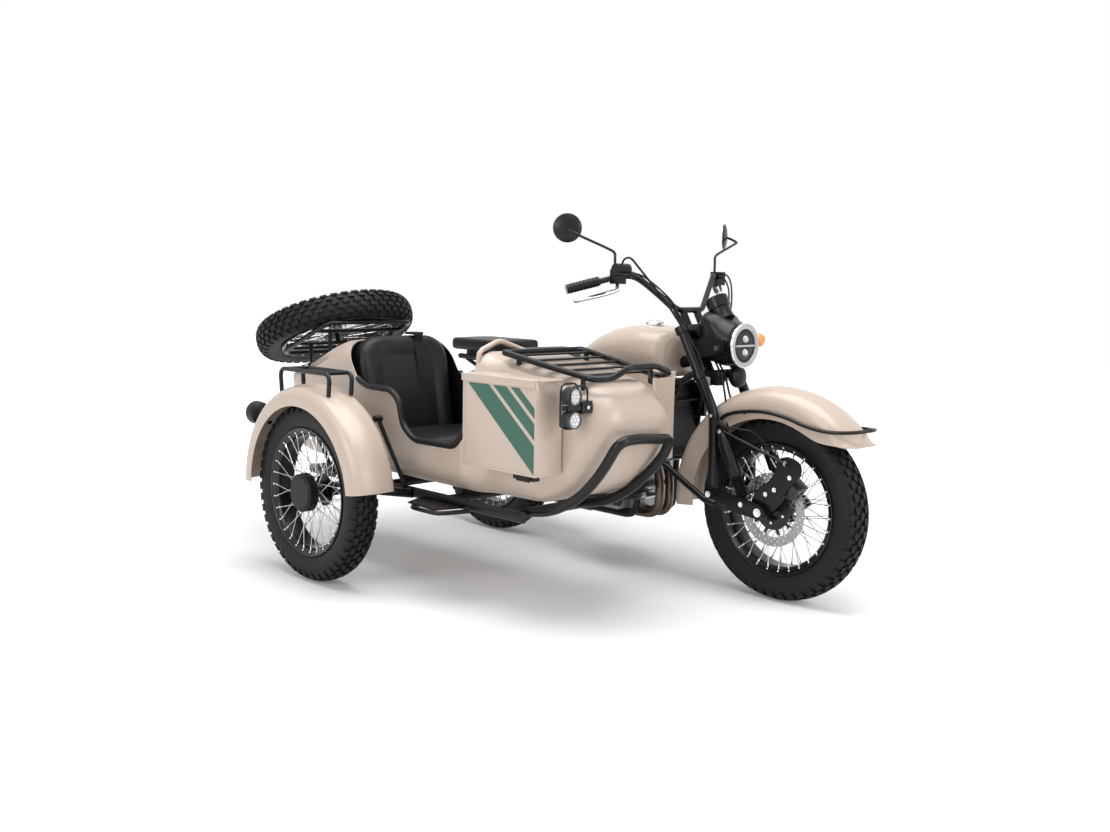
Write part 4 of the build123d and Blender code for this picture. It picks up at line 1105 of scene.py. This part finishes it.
sweep(rack, bent([(x, TUB_Y + y, z) for x, y, z in front + far], 26), 10.4, 12)
sweep(rack, [(943, TUB_Y - 185, 866), (943, TUB_Y + 185, 866)], 10.4, 12)
for x in (990, 1290):
    for side in (-1, 1):
        bar(
            rack, (x, TUB_Y + side * 160, 800 if x > 1000 else 822),
            (x, TUB_Y + side * 160, 866 - (x - 943) * 0.163), 9.5, 12,
        )
put("rack_tubes", rack, BLACK, "chassis")
# Horn and hoses between the fork legs
horn = bmesh.new()
lathe(
    horn, [(0, 1), (0, 38), (8, 42), (22, 40), (30, 26), (34, 1)],
    own_axes((1262, 32, 770), (1, 0, 0.1), (0, 1, 0)), 32,
)
brick(horn, (1206, 1262), (20, 44), (764, 790))
for y, low in ((-52, 600), (-30, 632), (58, 610)):
    sweep(horn, eased([
        (1215, y * 0.7, 836), (1262, y, 780), (1290, y * 1.2, 716), (1316, y * 1.5, low + 40),
        (1330, y * 1.75, low),
    ], 6), 4, 8)
brick(horn, (1228, 1262), (-70, -28), (742, 786))
put("horn_and_hoses", horn, PLASTIC, "steering", angle=38)
# Cables that are fixed at the controls and at the headstock
cables = bmesh.new()
for rise, shift in ((0, 0), (10, 14), (-8, -12)):
    sweep(cables, eased([
        (972, -270, 1128 + rise), (1005, -215 + shift, 1118 + rise),
        (1052, -120 + shift, 1040 + rise), (1092, -98, 985 + rise),
        (1130, -100 + shift / 2, 930 + rise), (1160, -96, 880 + rise), (1180, -70, 842),
    ], 6), 3.4, 8)
for rise, shift in ((0, 0), (14, 16)):
    sweep(cables, eased([
        (975, 285, 1128 + rise), (1020, 262 + shift, 1122 + rise), (1085, 205 + shift, 1085 + rise),
        (1135, 145 + shift, 1030), (1165, 108, 975), (1180, 88, 925),
    ], 6), 3.4, 8)
put("bar_cables", cables, HOSE, "steering")
latch = bmesh.new()
brick(latch, (1150, 1246), (-955, -930), (486, 499.7))
brick(latch, (1168, 1230), (-959, -955), (482, 497))
put("case_catch", latch, PLASTIC, "chassis")
buckle = bmesh.new()
brick(buckle, (100, 150), (TUB_Y + 38, TUB_Y + 92), (880, 889))
brick(buckle, (150, 160), (TUB_Y + 44, TUB_Y + 80), (856, 886))
put("belt_guide", buckle, PLASTIC, "chassis")

# Bright bolt heads on the fork, links and brake carrier
bolts = bmesh.new()
# columns: x, y outward face, z, radius
BOLTS = [
    (1515, 150, 328, 15), (1296, 146, 360, 11), (1441, 146, 345, 9), (1326, 133, 588, 9),
    (1284, 132, 640, 7),
]
for x, y, z, radius in BOLTS:
    for side in (-1, 1):
        bar(bolts, (x, side * (y - 4), z), (x, side * (y + 2.5), z), radius, 20)
        bar(bolts, (x, side * (y + 2), z), (x, side * (y + 7), z), radius * 0.66, 6)
for x, z in ((1602, 508), (1623, 462), (1563, 412), (1528, 392)):
    bar(bolts, (x, -120, z), (x, -126, z), 8, 20)
    bar(bolts, (x, -126, z), (x, -130, z), 5, 6)
bar(bolts, (1275, -101, 879), (1275, -105, 879), 9, 20)
carrier = bmesh.new()
shape = eased([
    (1500, 0, 300), (1550, 0, 330), (1590, 0, 372), (1612, 0, 420), (1655, 0, 462), (1662, 0, 500),
    (1642, 0, 522), (1600, 0, 530), (1566, 0, 512), (1560, 0, 478), (1535, 0, 440), (1492, 0, 405),
    (1468, 0, 366), (1474, 0, 322), (1500, 0, 300),
], 4)[:-1]
skin(carrier, [[Vector((v.x, y, v.z)) for v in shape] for y in (-112.5, -119.5)])
put("brake_carrier_plate", carrier, BLACK, "steering", angle=30)
put("bright_bolts", bolts, CHROME, "steering", angle=30)
dark = bmesh.new()
brick(dark, (905, 1030), (-70, 70), (640, 742))
brick(dark, (960, 1060), (-105, 105), (664, 668))
for side in (-1, 1):
    brick(dark, (948, 1075), sorted((side * 96, side * 112)), (600, 736))
    bar(dark, (1090, side * 60, 742), (1030, side * 118, 560), 8)
brick(dark, (900, 985), (-110, 110), (470, 600))
put("front_dark_parts", dark, PLASTIC, "chassis")

# Muffler skin, snaps along the cockpit, sidecar joint bolt
muffler = bmesh.new()
lathe(
    muffler, [(0, 30), (0, 44), (8, 50.4), (490, 50.4), (505, 46), (512, 30)],
    own_axes((330, 212, 315), (-510, 6, 70), (0, 1, 0)), 40,
)
put("muffler_skin", muffler, MUFFLER, "chassis")
snaps = bmesh.new()
for side in (-1, 1):
    for x, z in (
        (204, 706), (262, 688), (322, 687), (382, 686), (424, 662), (448, 616), (468, 566),
        (512, 530), (575, 517), (650, 517), (725, 518),
    ):
        dot(snaps, (x, TUB_Y + side * 250, z), 3.6, 8)
put("rim_snaps", snaps, CHROME, "chassis")
joint = bmesh.new()
bar(joint, (1078, -196, 336), (1078, -250, 336), 17, 24)
bar(joint, (1078, -250, 336), (1078, -262, 336), 11, 6)
put("sidecar_joint_bolt", joint, CHROME, "chassis")


# Cushions, blown up a little against their seams

VOXEL = 0.006               # metres
FILLING_FRAMES = 20
FILLING = {
    "use_pressure": True, "uniform_pressure_force": 4, "quality": 4, "mass": 0.3,
    "tension_stiffness": 20, "compression_stiffness": 20,
}


def cushion(name, mesh, node, seams, swell):
    """Soften a block by filling it, with points near the seams held. seams says which are held."""
    bmesh.ops.transform(mesh, matrix=TO_ROW, verts=mesh.verts)
    bmesh.ops.recalc_face_normals(mesh, faces=mesh.faces)
    data = mesh_data(name, mesh)
    made = add_object(name, data)
    remesh = made.modifiers.new("remesh", "REMESH")
    remesh.mode = "VOXEL"
    remesh.voxel_size = VOXEL
    settle(made)
    for _ in range(2):
        evened = bmesh.new()
        evened.from_mesh(made.data)
        axes = {f"use_axis_{axis}": True for axis in "xyz"}
        bmesh.ops.smooth_vert(evened, verts=evened.verts, factor=0.5, **axes)
        evened.to_mesh(made.data)
        evened.free()
    rest = [v.co.copy() for v in made.data.vertices]
    held = made.vertex_groups.new(name="held")
    back_to_mm = TO_ROW.inverted()
    for v in made.data.vertices:
        weight = seams(back_to_mm @ v.co)
        if weight > 0:
            held.add([v.index], weight, "REPLACE")
    cloth = made.modifiers.new("filling", "CLOTH")
    cloth.settings.vertex_group_mass = "held"
    for setting, value in FILLING.items():
        setattr(cloth.settings, setting, value)
    cloth.settings.effector_weights.gravity = 0
    cloth.point_cache.frame_start = 1
    cloth.point_cache.frame_end = FILLING_FRAMES
    for number in range(1, FILLING_FRAMES + 1):
        bpy.context.scene.frame_set(number)
    settle(made)
    bpy.context.scene.frame_set(1)
    for v, old in zip(made.data.vertices, rest):
        moved = v.co - old
        if moved.length > swell * MM:
            v.co = old + moved.normalized() * swell * MM
    low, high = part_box(node)
    for v in made.data.vertices:
        v.co = Vector(min(max(c, a), b) for c, a, b in zip(v.co, low, high))
    for face in made.data.polygons:
        face.use_smooth = True
    made.data.materials.append(LEATHER)
    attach(made, frame["nodes"][node]["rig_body"])
    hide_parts(node)


def settle(made):
    """Make what the modifiers give into the mesh itself."""
    graph = bpy.context.evaluated_depsgraph_get()
    solved = bpy.data.meshes.new_from_object(made.evaluated_get(graph))
    made.modifiers.clear()
    made.data = solved


def side_block(outline, y, soft):
    """A block with an outline drawn from the side, with its edges rounded."""
    mesh = bmesh.new()
    skin(
        mesh,
        [[Vector((x, y[0], z)) for x, z in outline], [Vector((x, y[1], z)) for x, z in outline]],
    )
    bmesh.ops.recalc_face_normals(mesh, faces=mesh.faces)
    bmesh.ops.bevel(
        mesh, geom=mesh.edges[:], offset=soft, offset_type="OFFSET", segments=3, profile=0.5,
        affect="EDGES", clamp_overlap=True, material=-1,
    )
    return mesh


def near(value, *places, reach=5.0):
    return any(abs(value - p) < reach for p in places)


cushion(
    "rider_cushion",
    side_block(
        [(235, 775), (235, 814), (262, 822), (500, 815), (535, 800), (535, 775)], (-140, 140), 14,
    ),
    "rider_seat", lambda p: 1.0 if p.z < 782 or near(abs(p.y), 96) or near(p.x, 300) else 0.0, 8,
)
cushion(
    "pillion_cushion",
    side_block([(-190, 790), (-190, 842), (130, 842), (130, 790)], (-120, 120), 14),
    "pillion_seat",
    lambda p: 1.0 if p.z < 797 or near(abs(p.y), 84) or near(p.x, -110, -30, 50) else 0.0, 8,
)
base_shape = [(214, 462), (214, 522), (540, 524), (562, 508), (562, 462)]


def back_block():
    """The backrest block: a rounded front view, leaning back, its front a little narrower; the
    bolsters along its sides come from filling it against its seams.
    """
    mesh = bmesh.new()
    outline = []
    for turn, y, z, radius in (
        (0, 112, 776, 100), (90, -112, 776, 100), (180, -187, 500, 25), (270, 187, 500, 25),
    ):
        for n in range(9):
            a = radians(turn + 90 * n / 8)
            outline.append((y + radius * cos(a), z + radius * sin(a)))

    def front(z):
        return 214 - (z - 524) * 62 / 352

    rows = [
        [Vector((92 + max(0, z - 850) * 0.9, TUB_Y + y, z)) for y, z in outline],
        [Vector((front(z) - 16, TUB_Y + y, z)) for y, z in outline],
        [Vector((front(z), TUB_Y + y * 0.93, 640 + (z - 640) * 0.95)) for y, z in outline],
    ]
    skin(mesh, rows)
    return mesh


backrest = back_block()
cushion(
    "sidecar_back", backrest, "sidecar_seat",
    lambda p: 1.0 if p.x < 104 or near(abs(p.y - TUB_Y), 122) or near(p.z, 806, reach=4) else 0.0,
    12,
)
base = side_block(base_shape, (TUB_Y - 224, TUB_Y + 224), 16)
cushion(
    "sidecar_base", base, "sidecar_seat",
    lambda p: (
        1.0 if p.z < 470 or near(abs(p.y - TUB_Y), 150) or near(p.x, 330, 450, reach=4) else 0.0
    ),
    10,
)
belt = bmesh.new()
strap = [(150, 866), (166, 800), (186, 690), (206, 580), (214, 536)]
for (x1, z1), (x2, z2) in zip(strap, strap[1:]):
    a, b = Vector((x1 + 3, TUB_Y + 60, z1)), Vector((x2 + 3, TUB_Y + 60, z2))
    along = b - a
    size = Matrix.Diagonal((38, 2.4, along.length + 2, 1))
    local = own_axes((a + b) / 2, along, (0, 1, 0)) @ size
    bmesh.ops.create_cube(belt, size=1, matrix=local)
put("seat_belt", belt, PLASTIC, "chassis")

# Camera fitted to the photo (radians and metres), floor and light

camera = add_object("camera", bpy.data.cameras.new("camera"))
CAMERA_AT = (3.2318, -3.0650, 1.1312)
yaw, pitch, roll = 0.7741, 0.1215, radians(1.16)
ahead = Vector((-cos(yaw) * cos(pitch), sin(yaw) * cos(pitch), -sin(pitch)))
level = Vector((sin(yaw), cos(yaw), 0))
upward = level.cross(ahead)
right = level * cos(roll) + upward * sin(roll)
top = upward * cos(roll) - level * sin(roll)
axes = Matrix((right, top, -ahead)).transposed().to_4x4()
camera.matrix_world = Matrix.Translation(CAMERA_AT) @ axes
camera.data.lens = 37.86
camera.data.sensor_width = 36
camera.data.clip_end = 60
bpy.context.scene.camera = camera

ground = bmesh.new()
bmesh.ops.create_grid(ground, x_segments=1, y_segments=1, size=14)
floor_data = mesh_data("floor", ground)
floor = add_object("floor", floor_data)
floor_white = finish_of("floor_white", (0.80, 0.80, 0.80), 0.7)
floor_data.materials.append(floor_white)
glow = floor_white.node_tree
where = add_node(glow, "TexCoord")
far = add_node(glow, "VectorMath")
far.operation = "LENGTH"
fade = add_node(glow, "MapRange", From_Min=0.9, From_Max=3.4, To_Min=0.10, To_Max=1.0)
glow.links.new(where.outputs["Object"], far.inputs[0])
glow.links.new(far.outputs["Value"], fade.inputs["Value"])
surface = glow.nodes["Principled BSDF"]
glow.links.new(fade.outputs["Result"], surface.inputs["Emission Strength"])
set_inputs(surface, Emission_Color=(1, 1, 1, 1))


def softbox(name, where, aim, size, power):
    data = bpy.data.lights.new(name, "AREA")
    data.shape = "RECTANGLE"
    data.size, data.size_y = size
    data.energy = power
    made = add_object(name, data)
    made.location = where
    made.rotation_mode = "QUATERNION"
    made.rotation_quaternion = (Vector(aim) - Vector(where)).to_track_quat("-Z", "Y")


softbox("overhead", (0.3, -0.4, 3.6), (0, 0, 0.4), (3.6, 2.6), 150)
softbox("front_left", (0.6, -4.2, 2.2), (0.1, 0, 0.5), (2.4, 1.6), 52)
softbox("front_right", (4.4, 0.6, 2.2), (0.3, 0, 0.5), (2.0, 1.8), 62)

world = bpy.data.worlds.new("studio")
bpy.context.scene.world = world
world.use_nodes = True
tree = world.node_tree
tree.nodes.clear()
out = add_node(tree, "OutputWorld")
mix = add_node(tree, "MixShader")
ray = add_node(tree, "LightPath")
seen = add_node(tree, "Background", Color=(1, 1, 1, 1), Strength=1.0)
lit = add_node(tree, "Background", Color=(1, 1, 1, 1), Strength=0.38)
# the white background shows to the camera, in metal and through glass; the rest is lit more softly
either = [add_node(tree, "Math") for _ in range(2)]
for node in either:
    node.operation = "MAXIMUM"
tree.links.new(ray.outputs["Is Camera Ray"], either[0].inputs[0])
tree.links.new(ray.outputs["Is Glossy Ray"], either[0].inputs[1])
tree.links.new(either[0].outputs[0], either[1].inputs[0])
tree.links.new(ray.outputs["Is Transmission Ray"], either[1].inputs[1])
tree.links.new(either[1].outputs[0], mix.inputs["Fac"])
tree.links.new(lit.outputs["Background"], mix.inputs[1])
tree.links.new(seen.outputs["Background"], mix.inputs[2])
tree.links.new(mix.outputs["Shader"], out.inputs["Surface"])
bpy.context.scene.view_settings.view_transform = "Standard"
